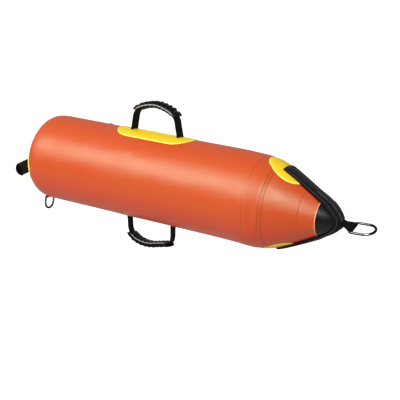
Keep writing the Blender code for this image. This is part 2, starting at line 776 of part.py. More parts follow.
def keel_seat():
    """The place on the tail's lower shoulder that carries the keel ring, and the skin's normal there."""
    skin = skin_at_tail_radius(KEEL_SEAT_RADIUS)
    low, high = offset_outline(0.0), offset_outline(0.01)
    here = [float(np.interp(skin, ARC, low[:, axis])) for axis in (0, 1)]
    above = [float(np.interp(skin, ARC, high[:, axis])) for axis in (0, 1)]
    normal = Vector((above[0] - here[0], 0, here[1] - above[1])).normalized()
    return Vector((here[0], 0, -here[1])), normal


def keel_frame():
    """Local Z points out of the tail's lower shoulder and local Y along the ring's bar."""
    seat, normal = keel_seat()
    across = Vector((0, 1, 0))
    turn = Matrix((across.cross(normal), across, normal)).transposed().to_4x4()
    return Matrix.Translation(seat) @ turn


def keel_bar():
    seat, normal = keel_seat()
    return seat + normal * KEEL_REACH


def make_keel():
    start = skin_at_tail_radius(KEEL_SEAT_RADIUS - KEEL_PATCH_RADIUS - CUT_MARGIN)
    end = skin_at(TAIL_DEPTH + 2 * CUT_MARGIN)
    patch = shell("keel_patch", GAP + PATCH, GAP, start, end, ORANGE)
    disc = cutter("keel_patch_outline", rod("keel", KEEL_PATCH_RADIUS, CUT_THROUGH, 28), keel_frame())
    smooth(as_mesh(combine(patch, disc, "INTERSECT")))
    out = Matrix.Rotation(-math.pi / 2, 4, "Y")
    lift = GAP + PATCH + GAP + LOOP_ROOT_RADIUS
    root = keel_frame() @ Matrix.Translation((0, 0, lift)) @ out
    make_loop("keel_tab", KEEL_TAB_WIDTH, KEEL_WIRE, KEEL_REACH - lift, LOOP_ROOT_RADIUS, root)
    down = Matrix.Translation(keel_bar()) @ Matrix.Rotation(math.pi / 2, 4, "Y")
    ring = ring_curve("keel_ring", KEEL_RING_WIDTH, KEEL_RING_LENGTH, KEEL_WIRE, down, STEEL)
    hinged("keel_ring_pivot", down, [ring])


def valve_frame():
    """Local Z points out of the hull through the middle of the valve, on the skin."""
    place = Matrix.Translation((TAIL_X + VALVE_FROM_TAIL, 0, 0))
    return place @ Matrix.Rotation(VALVE_ANGLE, 4, "X") @ Matrix.Translation((0, 0, HULL_RADIUS))


def make_valve_base():
    """A flange welded to the fabric, with the neck that passes through it."""
    start = skin_at(VALVE_FROM_TAIL - VALVE_FLANGE_RADIUS - CUT_MARGIN)
    end = skin_at(VALVE_FROM_TAIL + VALVE_FLANGE_RADIUS + CUT_MARGIN)
    flange = shell("valve_base", GAP + VALVE_FLANGE, GAP, start, end, VALVE_PLASTIC)
    disc = cutter("flange_outline", rod("flange", VALVE_FLANGE_RADIUS, CUT_THROUGH), valve_frame())
    flange = as_mesh(combine(flange, disc, "INTERSECT"))
    bore = rod("flange_bore", NECK_RADIUS - NECK_WALL / 2, CUT_THROUGH)
    flange = as_mesh(combine(flange, cutter("flange_bore", bore, valve_frame()), "DIFFERENCE"))
    inner = NECK_RADIUS - NECK_WALL
    loop = [
        (NECK_RADIUS, NECK_TOP), (NECK_RADIUS, -NECK_DEPTH), (inner, -NECK_DEPTH), (inner, NECK_TOP),
    ]
    neck = as_mesh(turned("neck", loop, VALVE_PLASTIC, valve_frame(), VALVE_SIDES))
    return smooth(joined(flange, [neck]))


def make_valve_insert():
    """Screws into the neck. Its plate, pierced by a ring of holes, is the diaphragm's seat."""
    outer = NECK_RADIUS - NECK_WALL - GAP
    inner = outer - INSERT_WALL
    rim = NECK_TOP + GAP + SEAL_WIRE + GAP
    under = SEAT_HEIGHT - SEAT_PLATE
    loop = [
        (NECK_RADIUS, rim + INSERT_RIM), (NECK_RADIUS, rim), (outer, rim), (outer, under),
        (STEM_RADIUS + GAP, under), (STEM_RADIUS + GAP, SEAT_HEIGHT), (inner, SEAT_HEIGHT),
        (inner, rim + INSERT_RIM),
    ]
    insert = turned("valve_insert", loop, VALVE_PLASTIC, valve_frame(), VALVE_SIDES)
    spread = (STEM_RADIUS + inner) / 2
    for i in range(SEAT_HOLES):
        turn = Matrix.Rotation(2 * math.pi * i / SEAT_HOLES, 4, "Z")
        place = valve_frame() @ turn @ Matrix.Translation((spread, 0, SEAT_HEIGHT))
        hole = cutter(f"seat_hole_{i}", rod("seat_hole", SEAT_HOLE_RADIUS, 4 * SEAT_PLATE, 12), place)
        combine(insert, hole, "DIFFERENCE")
    return smooth(as_mesh(insert))


def make_diaphragm():
    """A rubber mushroom that the air in the float presses against its seat."""
    seat = SEAT_HEIGHT - SEAT_PLATE - GAP
    knob = SEAT_HEIGHT + DIAPHRAGM_TRAVEL + GAP
    loop = [
        (0, knob + KNOB_HEIGHT), (KNOB_RADIUS, knob + KNOB_HEIGHT / 2), (KNOB_RADIUS, knob),
        (STEM_RADIUS, knob), (STEM_RADIUS, seat), (DIAPHRAGM_RADIUS, seat),
        (DIAPHRAGM_RADIUS, seat - DIAPHRAGM), (0, seat - DIAPHRAGM_CROWN),
    ]
    diaphragm = smooth(turned("valve_diaphragm", loop, SEAL_RUBBER, valve_frame(), VALVE_SIDES))
    hinged("valve_diaphragm_slide", valve_frame(), [diaphragm])


def make_seal():
    """The ring squeezed between the neck and the insert's rim."""
    low = NECK_TOP + GAP
    middle = NECK_RADIUS - NECK_WALL / 2
    half = SEAL_WIRE / 2
    loop = []
    for angle in np.linspace(math.pi / 2, -3 * math.pi / 2, 8, endpoint=False):
        loop.append((middle + half * math.cos(angle), low + half + half * math.sin(angle)))
    return smooth(turned("valve_seal", loop, SEAL_RUBBER, valve_frame(), VALVE_SIDES))


def cap_underside():
    return NECK_TOP + GAP + SEAL_WIRE + GAP + INSERT_RIM + GAP


def make_cap():
    """A quarter turn cap with a plug below and a finger bar on top."""
    low = cap_underside()
    top = low + CAP_HEIGHT
    groove = low + CAP_GROOVE_HEIGHT
    plug = NECK_RADIUS - NECK_WALL - GAP - INSERT_WALL - GAP
    inner = plug - PLUG_WALL
    loop = [
        (0, top), (NECK_RADIUS - CAP_CHAMFER, top), (NECK_RADIUS, top - CAP_CHAMFER),
        (NECK_RADIUS, groove), (NECK_RADIUS - CAP_GROOVE, groove), (NECK_RADIUS - CAP_GROOVE, low),
        (plug, low), (plug, low - PLUG_DEPTH), (inner, low - PLUG_DEPTH), (inner, low + PLUG_HOLLOW),
        (0, low + PLUG_HOLLOW),
    ]
    cap = as_mesh(turned("valve_cap", loop, VALVE_PLASTIC, valve_frame(), VALVE_SIDES))
    place = valve_frame() @ Matrix.Translation((0, 0, top + FINGER_BAR_LIFT))
    bar = as_mesh(keep("finger_bar", block("finger_bar", FINGER_BAR), VALVE_PLASTIC, place))
    hinged("valve_cap_pivot", valve_frame(), [smooth(joined(cap, [bar]))])


def make_tether():
    """A soft strap with one ring under the cap's rim and one round the neck."""
    frame = valve_frame()
    inner = NECK_RADIUS - CAP_GROOVE + GAP
    outer = NECK_RADIUS + TETHER_RIM
    high = cap_underside() + GAP
    low = GAP + VALVE_FLANGE + TETHER_CLEARANCE
    upper = [(outer, high + TETHER), (outer, high), (inner, high), (inner, high + TETHER)]
    around = NECK_RADIUS + GAP
    lower = [(outer, low + TETHER), (outer, low), (around, low), (around, low + TETHER)]
    upper_ring = as_mesh(turned("cap_tether", upper, VALVE_PLASTIC, frame, VALVE_SIDES))
    lower_ring = as_mesh(turned("lower_ring", lower, VALVE_PLASTIC, frame, VALVE_SIDES))
    middle = (high + low + TETHER) / 2
    radius = (high - low) / 2
    rings = []
    for angle in np.linspace(-math.pi / 2, math.pi / 2, LOOP_STEPS):
        ring = []
        for across, out in ((-1, -1), (1, -1), (1, 1), (-1, 1)):
            reach = radius + out * TETHER / 2
            x = outer + TETHER_REACH + reach * math.cos(angle)
            ring.append((x, across * TETHER_WIDTH / 2, middle + reach * math.sin(angle)))
        rings.append(ring)
    rings.insert(0, [(outer - TETHER_OVERLAP, y, z) for _, y, z in rings[0]])
    rings.append([(outer - TETHER_OVERLAP, y, z) for _, y, z in rings[-1]])
    arm = as_mesh(loft("tether_arm", rings, VALVE_PLASTIC, frame))
    return smooth(joined(upper_ring, [lower_ring, arm]))


def make_valve():
    make_valve_base()
    make_valve_insert()
    make_diaphragm()
    make_seal()
    make_cap()
    make_tether()


def make_handles():
    make_handle("top_handle", UPRIGHT_PATH, handle_frame(1), 0.0, 0.0)
    make_handle("bottom_handle", HANGING_PATH, handle_frame(-1), 0.0, HANGING_GRIP_SLIP)
    surface = -tail_drop(TAIL_PATH[-1][0])
    place = drooping(tail_frame(TAIL_HANDLE_LOWERED), surface)
    make_handle("tail_handle", TAIL_PATH, place, surface, 0.0)


clear_scene()
PARTS = collection("spearfishing_float")
CUTTERS = collection("cutters")
make_tube()
make_tail_cap()
make_cone()
make_bumper()
make_strap()
make_nose_patch("nose_patch_top", 1)
make_nose_patch("nose_patch_bottom", -1)
make_handle_patches()
make_handles()
make_tow()
make_keel()
make_valve()
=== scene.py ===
# %% [markdown]
# A spearfishing float, dressed in Blender around its imported model. The float is an inflated torpedo of orange
# coated fabric. It has a black rubber bumper and a wide strap over its nose, a steel ring on a twisted loop,
# three handles with moulded grips on yellow patches, and a small ring under its tail. Most soft pieces are
# built again here in their full form, over the plain solids that hold their places.

import json
import math

import bmesh
import bpy
import numpy as np
from mathutils import Matrix, Vector, noise


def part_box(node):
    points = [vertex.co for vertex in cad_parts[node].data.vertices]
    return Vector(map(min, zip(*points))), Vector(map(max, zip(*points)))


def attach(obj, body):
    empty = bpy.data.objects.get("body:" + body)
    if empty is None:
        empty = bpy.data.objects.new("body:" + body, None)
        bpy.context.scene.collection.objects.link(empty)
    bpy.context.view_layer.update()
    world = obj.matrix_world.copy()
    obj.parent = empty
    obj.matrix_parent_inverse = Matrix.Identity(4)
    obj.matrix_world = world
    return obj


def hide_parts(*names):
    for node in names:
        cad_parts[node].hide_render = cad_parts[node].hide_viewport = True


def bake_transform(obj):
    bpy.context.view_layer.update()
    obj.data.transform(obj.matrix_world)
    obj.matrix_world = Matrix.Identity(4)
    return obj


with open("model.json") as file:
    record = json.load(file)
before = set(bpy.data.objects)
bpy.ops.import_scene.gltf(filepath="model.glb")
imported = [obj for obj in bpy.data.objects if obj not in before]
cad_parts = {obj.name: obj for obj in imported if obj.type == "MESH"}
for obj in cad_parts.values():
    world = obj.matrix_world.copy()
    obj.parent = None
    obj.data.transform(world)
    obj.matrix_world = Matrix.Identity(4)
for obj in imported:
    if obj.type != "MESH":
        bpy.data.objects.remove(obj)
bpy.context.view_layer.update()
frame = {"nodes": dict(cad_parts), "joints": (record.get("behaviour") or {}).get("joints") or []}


def linked(name, data):
    """A new object in the scene, made of this data."""
    made = bpy.data.objects.new(name, data)
    bpy.context.scene.collection.objects.link(made)
    return made


def turned_to(x_axis, y_axis, z_axis):
    """The rotation that turns an object's own axes to these directions."""
    return Matrix((x_axis, y_axis, z_axis)).transposed().to_4x4()

# %% [markdown]
# The camera comes first, because everything else is judged through it. The photograph was taken with a long
# lens, from the side and a little above, and the camera leaned a few degrees. Its place was found by matching
# the hull's two edge lines, the round tail and the feet of the handles. A long lens keeps the two ends nearly
# the same size.

# %% Camera
CAMERA_PLACE = Vector((1.0816, -1.776, 0.459))
CAMERA_AHEAD = Vector((-0.48874, 0.84130, -0.23097)).normalized()
CAMERA_UP = Vector((-0.19000, 0.15575, 0.96935))
LENS = 90.0

camera_right = CAMERA_AHEAD.cross(CAMERA_UP).normalized()
camera = linked("camera", bpy.data.cameras.new("camera"))
turn = turned_to(camera_right, camera_right.cross(CAMERA_AHEAD), -CAMERA_AHEAD)
camera.matrix_world = Matrix.Translation(CAMERA_PLACE) @ turn
camera.data.lens = LENS
camera.data.clip_end = 200.0
bpy.context.scene.camera = camera
print("camera", round(CAMERA_PLACE.length, 2), "m from the middle of the float")

# %% [markdown]
# Studio light. The photograph has one broad highlight along the upper third of the hull, so the key light is
# a long soft box above and in front, lying along the float. A smaller one beside the camera lights the nose,
# whose cone turns away from the first. The floor and the world look white to the camera, and partly so in a
# reflection, while the light that they give stays low, so that the colours keep their strength. The floor
# lies well below, because the float hangs in the air in the photograph.

# %% Light, floor and world
FLOOR_Z = -0.62
FLOOR_HALF = 60.0
FLOOR_COLOUR = (0.68, 0.59, 0.49, 1)
WHITE = (1, 1, 1, 1)
KEY_POWER = 35.0
NOSE_POWER = 24.0
WORLD_LIGHT = 0.38
PAPER_GLOW = 0.95
GLOSSY_SHARE = 0.08


def soft_box(name, place, aim, size, power):
    """A rectangular area light, turned so that its second size lies along X."""
    data = bpy.data.lights.new(name, "AREA")
    data.shape = "RECTANGLE"
    data.size, data.size_y = size
    data.energy = power
    back = (Vector(place) - Vector(aim)).normalized()
    side = (Vector((1, 0, 0)) - back * back.x).normalized()
    light = linked(name, data)
    light.matrix_world = Matrix.Translation(place) @ turned_to(side.cross(back), side, back)


soft_box("key_light", place=(-0.90, -1.30, 0.90), aim=(-0.90, 0, 0), size=(0.95, 1.80), power=KEY_POWER)
soft_box("nose_light", place=(0.95, -1.25, 1.05), aim=(0.30, 0, 0), size=(0.75, 0.75), power=NOSE_POWER)


def add(tree, kind, inputs=None, **settings):
    """A node with its settings. Each input is a value, or an output socket to link from."""
    made = tree.nodes.new(kind)
    for key, value in settings.items():
        setattr(made, key, value)
    for key, value in (inputs or {}).items():
        if isinstance(value, bpy.types.NodeSocket):
            tree.links.new(value, made.inputs[key])
        else:
            made.inputs[key].default_value = value
    return made


def maths(tree, operation, first, second=0.5):
    return add(tree, "ShaderNodeMath", {0: first, 1: second}, operation=operation).outputs[0]


def seen_directly(tree):
    """1 for the camera and through glass, and little in a reflection."""
    path = add(tree, "ShaderNodeLightPath").outputs
    glossy = maths(tree, "MULTIPLY", path["Is Glossy Ray"], GLOSSY_SHARE)
    either = maths(tree, "MAXIMUM", path["Is Camera Ray"], glossy)
    return maths(tree, "MAXIMUM", either, path["Is Transmission Ray"])


def blank_tree(owner):
    owner.use_nodes = True
    owner.node_tree.nodes.clear()
    return owner.node_tree


def white_world():
    """Soft even light from all round, against a white that only the camera sees in full."""
    world = bpy.data.worlds.new("studio")
    tree = blank_tree(world)
    given = add(tree, "ShaderNodeBackground", {"Color": WHITE, "Strength": WORLD_LIGHT}).outputs[0]
    seen = add(tree, "ShaderNodeBackground", {"Color": WHITE, "Strength": 1.0}).outputs[0]
    mixed = add(tree, "ShaderNodeMixShader", {0: seen_directly(tree), 1: given, 2: seen})
    add(tree, "ShaderNodeOutputWorld", {"Surface": mixed.outputs[0]})
    return world


def floor_material():
    """Matt paper of a warm white. For the camera it also glows, and it keeps the shadow."""
    made = bpy.data.materials.new("studio_paper")
    tree = blank_tree(made)
    paper = add(tree, "ShaderNodeBsdfDiffuse", {"Color": FLOOR_COLOUR})
    level = maths(tree, "MULTIPLY", seen_directly(tree), PAPER_GLOW)
    glow = add(tree, "ShaderNodeEmission", {"Color": WHITE, "Strength": level})
    both = add(tree, "ShaderNodeAddShader", {0: paper.outputs[0], 1: glow.outputs[0]})
    add(tree, "ShaderNodeOutputMaterial", {"Surface": both.outputs[0]})
    return made


bpy.context.scene.world = white_world()
floor_mesh = bpy.data.meshes.new("studio_floor")
corners = [(x * FLOOR_HALF, y * FLOOR_HALF, FLOOR_Z) for x, y in ((-1, -1), (1, -1), (1, 1), (-1, 1))]
floor_mesh.from_pydata(corners, [], [(0, 1, 2, 3)])
floor_mesh.materials.append(floor_material())
floor = linked("studio_floor", floor_mesh)
bpy.context.scene.view_settings.view_transform = "Standard"

# %% [markdown]
# Colours are written as they look on a screen, in hex, and one function turns them to the linear values that
# a shader works in. Another sets up a Principled shader. Numbers that are the same all over a surface, such
# as the IOR, are set on the shader itself, and what varies is linked to it by name.

# %% Colour and shader helpers
def colour(code):
    """An sRGB hex colour as linear red, green, blue and alpha."""
    shares = [int(code[i:i + 2], 16) / 255 for i in (0, 2, 4)]
    return tuple(c / 12.92 if c <= 0.04045 else ((c + 0.055) / 1.055) ** 2.4 for c in shares) + (1.0,)


def shader_inputs(made):
    return made.node_tree.nodes["Principled BSDF"].inputs


def finish(name, **constants):
    """A material and its node tree, with these constants set on its shader's sockets."""
    made = bpy.data.materials.new(name)
    made.use_nodes = True
    for key, value in constants.items():
        shader_inputs(made)[key.replace("_", " ")].default_value = value
    return made, made.node_tree


def drive(made, **outputs):
    """The material, with each output linked to its shader's input of that name."""
    for key, output in outputs.items():
        made.node_tree.links.new(output, shader_inputs(made)[key.replace("_", " ")])
    return made


def object_place(tree):
    return add(tree, "ShaderNodeTexCoord").outputs["Object"]


def flat_place(tree):
    """(along, across) a piece, in metres, from its UV map."""
    flat = add(tree, "ShaderNodeUVMap").outputs["UV"]
    split = add(tree, "ShaderNodeSeparateXYZ", {0: flat}).outputs
    return split["X"], split["Y"]


def stored(tree, name):
    """A number stored on the mesh. It is 0 all over a mesh that doesn't have it."""
    return add(tree, "ShaderNodeAttribute", attribute_name=name).outputs["Fac"]


def remapped(tree, value, start, end, low, high, **settings):
    """Low up to the start, high past the end, and in between them in proportion."""
    limits = {"Value": value, "From Min": start, "From Max": end, "To Min": low, "To Max": high}
    return add(tree, "ShaderNodeMapRange", limits, **settings).outputs["Result"]


def blotches(tree, size, low, high, detail=3.0, seed=0.0):
    """Soft random patches about as wide as size, in metres, from low to high."""
    settings = {"Vector": object_place(tree), "W": seed, "Scale": 1 / size, "Detail": detail}
    cloud = add(tree, "ShaderNodeTexNoise", settings, noise_dimensions="4D")
    return remapped(tree, cloud.outputs["Fac"], 0.3, 0.7, low, high)


def blend_colour(tree, share, first, second):
    """From the first colour to the second. Each is a hex code, or another node's output."""
    first, second = (colour(c) if isinstance(c, str) else c for c in (first, second))
    return add(tree, "ShaderNodeMix", {0: share, 6: first, 7: second}, data_type="RGBA").outputs[2]


def bump(tree, height, distance, below=None):
    """A normal that follows the height, over another normal where one is given."""
    inputs = {"Height": height, "Distance": distance, "Strength": 1.0}
    if below is not None:
        inputs["Normal"] = below
    return add(tree, "ShaderNodeBump", inputs).outputs["Normal"]


print("mid grey as linear", round(colour("808080")[0], 3))

# %% [markdown]
# The hull is polyester cloth with a calendered PVC coat. It is satin, so a light shows as a wide soft band.
# The cloth below prints through faintly, and air pressure leaves it a little uneven. The weld lines are painted
# darker, as dirt and as painted shade in their grooves. The colour is painted deeper low on the hull, as
# painted shade. The weld lines are stored on the mesh as an attribute, which the material darkens.

# %% Coated fabric
THREAD = 0.0011
WEAVE_DEPTH = 0.00004
SWELL_DEPTH = 0.0006
UNSHADED_ABOVE = 0.010
FULL_SHADE_BELOW = -0.085
PAINTED_SHADE_SHARE = 0.9
SEAM_SHADE_SHARE = 0.60
# it holds back red and blue, so that the highlight makes the orange paler but not pink
HIGHLIGHT_TINT = (0.55, 1, 0.74, 1)


def coated_fabric(name, base, deep, light, line, roughness):
    """PVC on cloth: painted shade low on the hull, dirt and painted shade in a weld line, lighter at a pressed
    rim.
    """
    made, tree = finish(name, IOR=1.52, Specular_IOR_Level=0.76, Specular_Tint=HIGHLIGHT_TINT)
    tint = blend_colour(tree, blotches(tree, 0.060, 0.0, 0.25, detail=4.0), base, deep)
    # painted shade: the colour is blended towards the deep one low on the hull
    height = add(tree, "ShaderNodeSeparateXYZ", {0: object_place(tree)}).outputs["Z"]
    painted_shade = remapped(tree, height, FULL_SHADE_BELOW, UNSHADED_ABOVE, PAINTED_SHADE_SHARE, 0.0,
                       interpolation_type="SMOOTHSTEP")
    tint = blend_colour(tree, painted_shade, tint, deep)
    tint = blend_colour(tree, stored(tree, "rim"), tint, light)
    # the weld lines are painted darker, as dirt and as painted shade in their grooves
    tint = blend_colour(tree, maths(tree, "MULTIPLY", stored(tree, "seam"), SEAM_SHADE_SHARE), tint, line)
    turns = [maths(tree, "MULTIPLY", way, math.pi / THREAD) for way in flat_place(tree)]
    weave = maths(tree, "MULTIPLY", *(maths(tree, "SINE", turn) for turn in turns))
    swell = bump(tree, blotches(tree, 0.045, 0.0, 1.0, detail=2.0, seed=5.0), SWELL_DEPTH)
    rough = blotches(tree, 0.030, roughness - 0.04, roughness + 0.05, detail=4.0, seed=2.0)
    return drive(made, Base_Color=tint, Roughness=rough, Normal=bump(tree, weave, WEAVE_DEPTH, swell))


ORANGE = coated_fabric("calendered_pvc_orange", base="B44000", deep="C41C00", light="E88A4A", line="7E2400",
                       roughness=0.41)
YELLOW = coated_fabric("calendered_pvc_yellow", base="E0BE02", deep="D2AA00", light="F6DE50", line="B48E00",
                       roughness=0.50)
print("fabric finishes", ORANGE.name, YELLOW.name)

# %% [markdown]
# Webbing is woven polyester: flat yarns cross in rows, and black yarn scatters a little grey light at a low
# angle, which the shader's sheen gives. The rows follow each strap through its UV map, whose units are
# metres. Real rows are about 1.2 mm apart, and they are drawn at 2 mm so that they show at all.

# %% Webbing, rubber, plastic and steel
RIB = 0.0020
FUZZ_DEPTH = 0.0002
GRAIN_DEPTH = 0.00008


def webbing_finish(name, base, worn, sheen, relief, roughness):
    """Woven yarn: rows in chevrons, with a little fuzz over them."""
    made, tree = finish(name, IOR=1.5, Specular_IOR_Level=0.10, Roughness=roughness,
                        Sheen_Weight=sheen, Sheen_Roughness=0.45)
    along, across = flat_place(tree)
    zigzag = maths(tree, "PINGPONG", maths(tree, "MULTIPLY", across, math.pi / RIB), math.pi)
    chevron = maths(tree, "ADD", maths(tree, "MULTIPLY", along, 2 * math.pi / RIB), zigzag)
    rows = maths(tree, "ABSOLUTE", maths(tree, "SINE", maths(tree, "MULTIPLY", chevron, 0.5)))
    fuzz = blotches(tree, 0.004, 0.0, 1.0, detail=5.0)
    tint = blend_colour(tree, maths(tree, "MULTIPLY", rows, fuzz), base, worn)
    return drive(made, Base_Color=tint, Normal=bump(tree, fuzz, FUZZ_DEPTH, bump(tree, rows, relief)))


def moulded_finish(name, base, dust, roughness, grain, level):
    """Rubber or plastic with a fine grain and patches of dust. Where the mesh says so, a pale highlight is
    painted on.
    """
    made, tree = finish(name, IOR=1.5, Specular_IOR_Level=level)
    tint = blend_colour(tree, blotches(tree, 0.020, 0.0, 0.35, detail=5.0), base, dust)
    # painted highlight: a pale line along the grips' parting lines, where the mesh marks it
    tint = blend_colour(tree, stored(tree, "worn"), tint, "D2D2D6")
    speckle = blotches(tree, grain, 0.0, 1.0, detail=2.0, seed=3.0)
    rough = blotches(tree, 0.015, roughness - 0.05, roughness + 0.06, detail=4.0, seed=1.0)
    return drive(made, Base_Color=tint, Roughness=rough, Normal=bump(tree, speckle, GRAIN_DEPTH))


def steel_finish(name):
    """Polished stainless wire: mirror bright, with fine scratches round it, a trace of dirt and dark flanks,
    which are a painted reflection.
    """
    made, tree = finish(name, Metallic=1.0)
    bright = blend_colour(tree, blotches(tree, 0.014, 0.0, 1.0, detail=2.0), "D6D6D8", "5A5A5C")
    # painted reflection: the colour turns dark on the wire's flanks, which face away from the view
    flank = add(tree, "ShaderNodeLayerWeight", {"Blend": 0.5}).outputs["Facing"]
    painted_dark_reflection = remapped(tree, flank, 0.01, 0.13, 0.0, 1.0)
    scratched = blotches(tree, 0.004, 0.10, 0.26, detail=4.0, seed=1.0)
    return drive(made, Base_Color=blend_colour(tree, painted_dark_reflection, bright, "161618"), Roughness=scratched)


def mottled_finish(name, base, other, size, **constants):
    """Soft patches of two colours. It serves for small things, such as the thread and the bead at the bumper's
    edge, whose pale colours are painted highlights.
    """
    made, tree = finish(name, **constants)
    return drive(made, Base_Color=blend_colour(tree, blotches(tree, size, 0.0, 1.0), base, other))


# the nose strap's yarn is smoother and shinier than that of the handles and the tow loop
STRAP_WEBBING = webbing_finish("woven_polyester_wide", base="060507", worn="17151A", sheen=0.02,
                               relief=0.00020, roughness=0.45)
HANDLE_WEBBING = webbing_finish("woven_polyester_black", base="030303", worn="0B0A0A", sheen=0.0,
                                relief=0.00030, roughness=0.60)
# the bumper's rubber is satin, and the grips have a matt one that a wet hand holds
BUMPER_RUBBER = moulded_finish("moulded_rubber_satin", base="050608", dust="0D0E12", roughness=0.26,
                               grain=0.0015, level=0.30)
GRIP_RUBBER = moulded_finish("moulded_rubber_matt", base="030303", dust="09090A", roughness=0.30,
                             grain=0.0012, level=0.09)
STEEL = steel_finish("polished_stainless")
# the valve is nylon with a silicone seal and disc
VALVE_PLASTIC = moulded_finish("moulded_nylon_black", base="1A1A1B", dust="2A2A2B", roughness=0.42,
                               grain=0.0010, level=0.30)
SEAL_RUBBER = moulded_finish("silicone_grey", base="6A6A68", dust="7C7C7A", roughness=0.50,
                             grain=0.0010, level=0.30)
# the thread is painted grey, a painted highlight for the light that the stitches catch
THREAD_PAINTED_HIGHLIGHT = mottled_finish("thread_grey_painted_highlight", base="545259", other="4A484E", size=0.0012,
                             Roughness=0.6, Sheen_Weight=0.3)
# a bead where the bumper was bonded to the cone, coloured pale peach as a painted highlight along its edge
EDGE_BEAD_HIGHLIGHT = mottled_finish("edge_bead_painted_highlight", base="F3C9AE", other="E79A75", size=0.010, Roughness=0.35)
print("finishes", len(bpy.data.materials))

# %% [markdown]
# Every soft layer lies on one surface: the hull's skin. It is a turned outline: a nearly flat tail with a
# round shoulder, a straight tube, and a nose that eases into a cone and a blunt tip. The full nose sags a
# little, so it is sheared down. The driving sizes are those of the solid model, and a place is given by its
# distance along the skin, its angle round the hull and its height over the fabric.

# %% The hull's skin
HULL_RADIUS = 0.095
HULL_LENGTH = 0.7315
TAIL_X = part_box("tail_cap")[0].x
TAIL_DEPTH = 0.057
TAIL_SQUARENESS = 5.0
NOSE_LENGTH = 0.189
SHOULDER_LENGTH = 0.070
TIP_RADIUS = 0.0137
CONE_BULGE = 1.30
TIP_LENGTH = 0.028
TIP_SQUARENESS = 2.8
DROOP_FROM_TIP = 0.225
DROOP_SLOPE = 0.050
DROOP_EASE = 0.03
ROUND_POINTS = 240
BODY_POINTS = 900


def eased(share):
    """0 to 1, slow at both ends."""
    return 3 * share**2 - 2 * share**3


def run_along(points):
    """The distance along a line of points to each of them."""
    return np.concatenate([[0], np.cumsum(np.linalg.norm(np.diff(points, axis=0), axis=1))])


def directions(points):
    way = np.gradient(points, axis=0)
    return way / np.linalg.norm(way, axis=1)[:, None]


def nose_radius(behind_tip):
    """The radius before the tip is rounded: an easy shoulder, then a cone that bulges a little."""
    cone = NOSE_LENGTH - SHOULDER_LENGTH
    slope = (HULL_RADIUS - TIP_RADIUS) / (SHOULDER_LENGTH / 2 + cone * (1 + CONE_BULGE) / 2)
    into = np.maximum(NOSE_LENGTH - behind_tip, 0)
    shoulder = np.minimum(into, SHOULDER_LENGTH)
    past = into - shoulder
    growth = slope * (CONE_BULGE - 1) / cone
    return HULL_RADIUS - slope * shoulder**2 / (2 * SHOULDER_LENGTH) - slope * past - growth * past**2 / 2


def hull_outline():
    """Close points (x, radius) from the middle of the tail to the tip of the nose."""
    angle = math.pi / 2 * eased(np.linspace(0, 1, ROUND_POINTS))
    power = 2 / TAIL_SQUARENESS
    depth = TAIL_DEPTH * (1 - np.maximum(np.cos(angle), 0) ** power)
    tail = np.stack([depth, HULL_RADIUS * np.sin(angle) ** power], 1)
    along = np.linspace(TAIL_DEPTH, HULL_LENGTH - TIP_LENGTH, BODY_POINTS)[1:]
    body = np.stack([along, nose_radius(HULL_LENGTH - along)], 1)
    power = 2 / TIP_SQUARENESS
    into = TIP_LENGTH * np.sin(angle[1:]) ** power
    shrink = np.maximum(np.cos(angle[1:]), 0) ** power
    tip = np.stack([HULL_LENGTH - TIP_LENGTH + into, nose_radius(TIP_LENGTH - into) * shrink], 1)
    return np.concatenate([tail, body, tip]) + (TAIL_X, 0)


OUTLINE = hull_outline()
ARC = run_along(OUTLINE)
WAY = directions(OUTLINE)


def skin_radius(arc, lift=0.0):
    """The hull's radius at a distance along the skin and a height over the fabric."""
    return np.interp(arc, ARC, OUTLINE[:, 1]) + np.interp(arc, ARC, WAY[:, 0]) * lift


def droop(x):
    """How far the nose's axis hangs below the hull's, easing in where the sag starts."""
    past = x - (TAIL_X + HULL_LENGTH - DROOP_FROM_TIP)
    start = (past + DROOP_EASE) ** 2 / (4 * DROOP_EASE)
    return DROOP_SLOPE * np.where(past > DROOP_EASE, past, np.where(past < -DROOP_EASE, 0, start))


def on_skin(arc, angle, lift):
    """Points at a distance along the skin, an angle from the top towards the camera, and a height over it."""
    arc, angle, lift = np.broadcast_arrays(np.asarray(arc, float), angle, lift)
    x = np.interp(arc, ARC, OUTLINE[:, 0]) - np.interp(arc, ARC, WAY[:, 1]) * lift
    radius = np.maximum(skin_radius(arc, lift), 0)
    return np.stack([x, -radius * np.sin(angle), radius * np.cos(angle) - droop(x)], -1)


def arc_at(from_tail):
    """The distance along the skin to a place on the tube or nose."""
    front = OUTLINE[:, 0] >= TAIL_X + TAIL_DEPTH - 1e-6
    return np.interp(np.asarray(from_tail) + TAIL_X, OUTLINE[front, 0], ARC[front])


def arc_at_tail_radius(radius):
    """The distance along the skin to a place on the tail."""
    rear = OUTLINE[:, 0] <= TAIL_X + TAIL_DEPTH + 1e-6
    return np.interp(radius, OUTLINE[rear, 1], ARC[rear])


print("skin", round(float(ARC[-1]), 4), "m from the middle of the tail to the tip")

# %% [markdown]
# Three helpers make every mesh but the wire and the stitches. One joins a grid of points into faces, one
# turns points into an object with its UV map and attributes, and one revolves an outline on the skin.
# Points are written where the piece is, so that each finished object sits at the origin, unturned.

# %% Mesh helpers
def grid_faces(rows, columns, close_rows=False, close_columns=False, start=0):
    """Four-sided faces over a grid of points stored row by row."""
    row = np.arange(rows if close_rows else rows - 1)[:, None]
    column = np.arange(columns if close_columns else columns - 1)[None, :]
    next_row, next_column = (row + 1) % rows, (column + 1) % columns
    corners = [row * columns + column, row * columns + next_column, next_row * columns + next_column,
               next_row * columns + column]
    return (np.stack(np.broadcast_arrays(*corners), -1).reshape(-1, 4) + start).tolist()


def grid_flat(along, across):
    """The flat places of a grid's points, from the distances along it and across it."""
    return np.stack(np.broadcast_arrays(along[:, None], across[None, :]), -1)


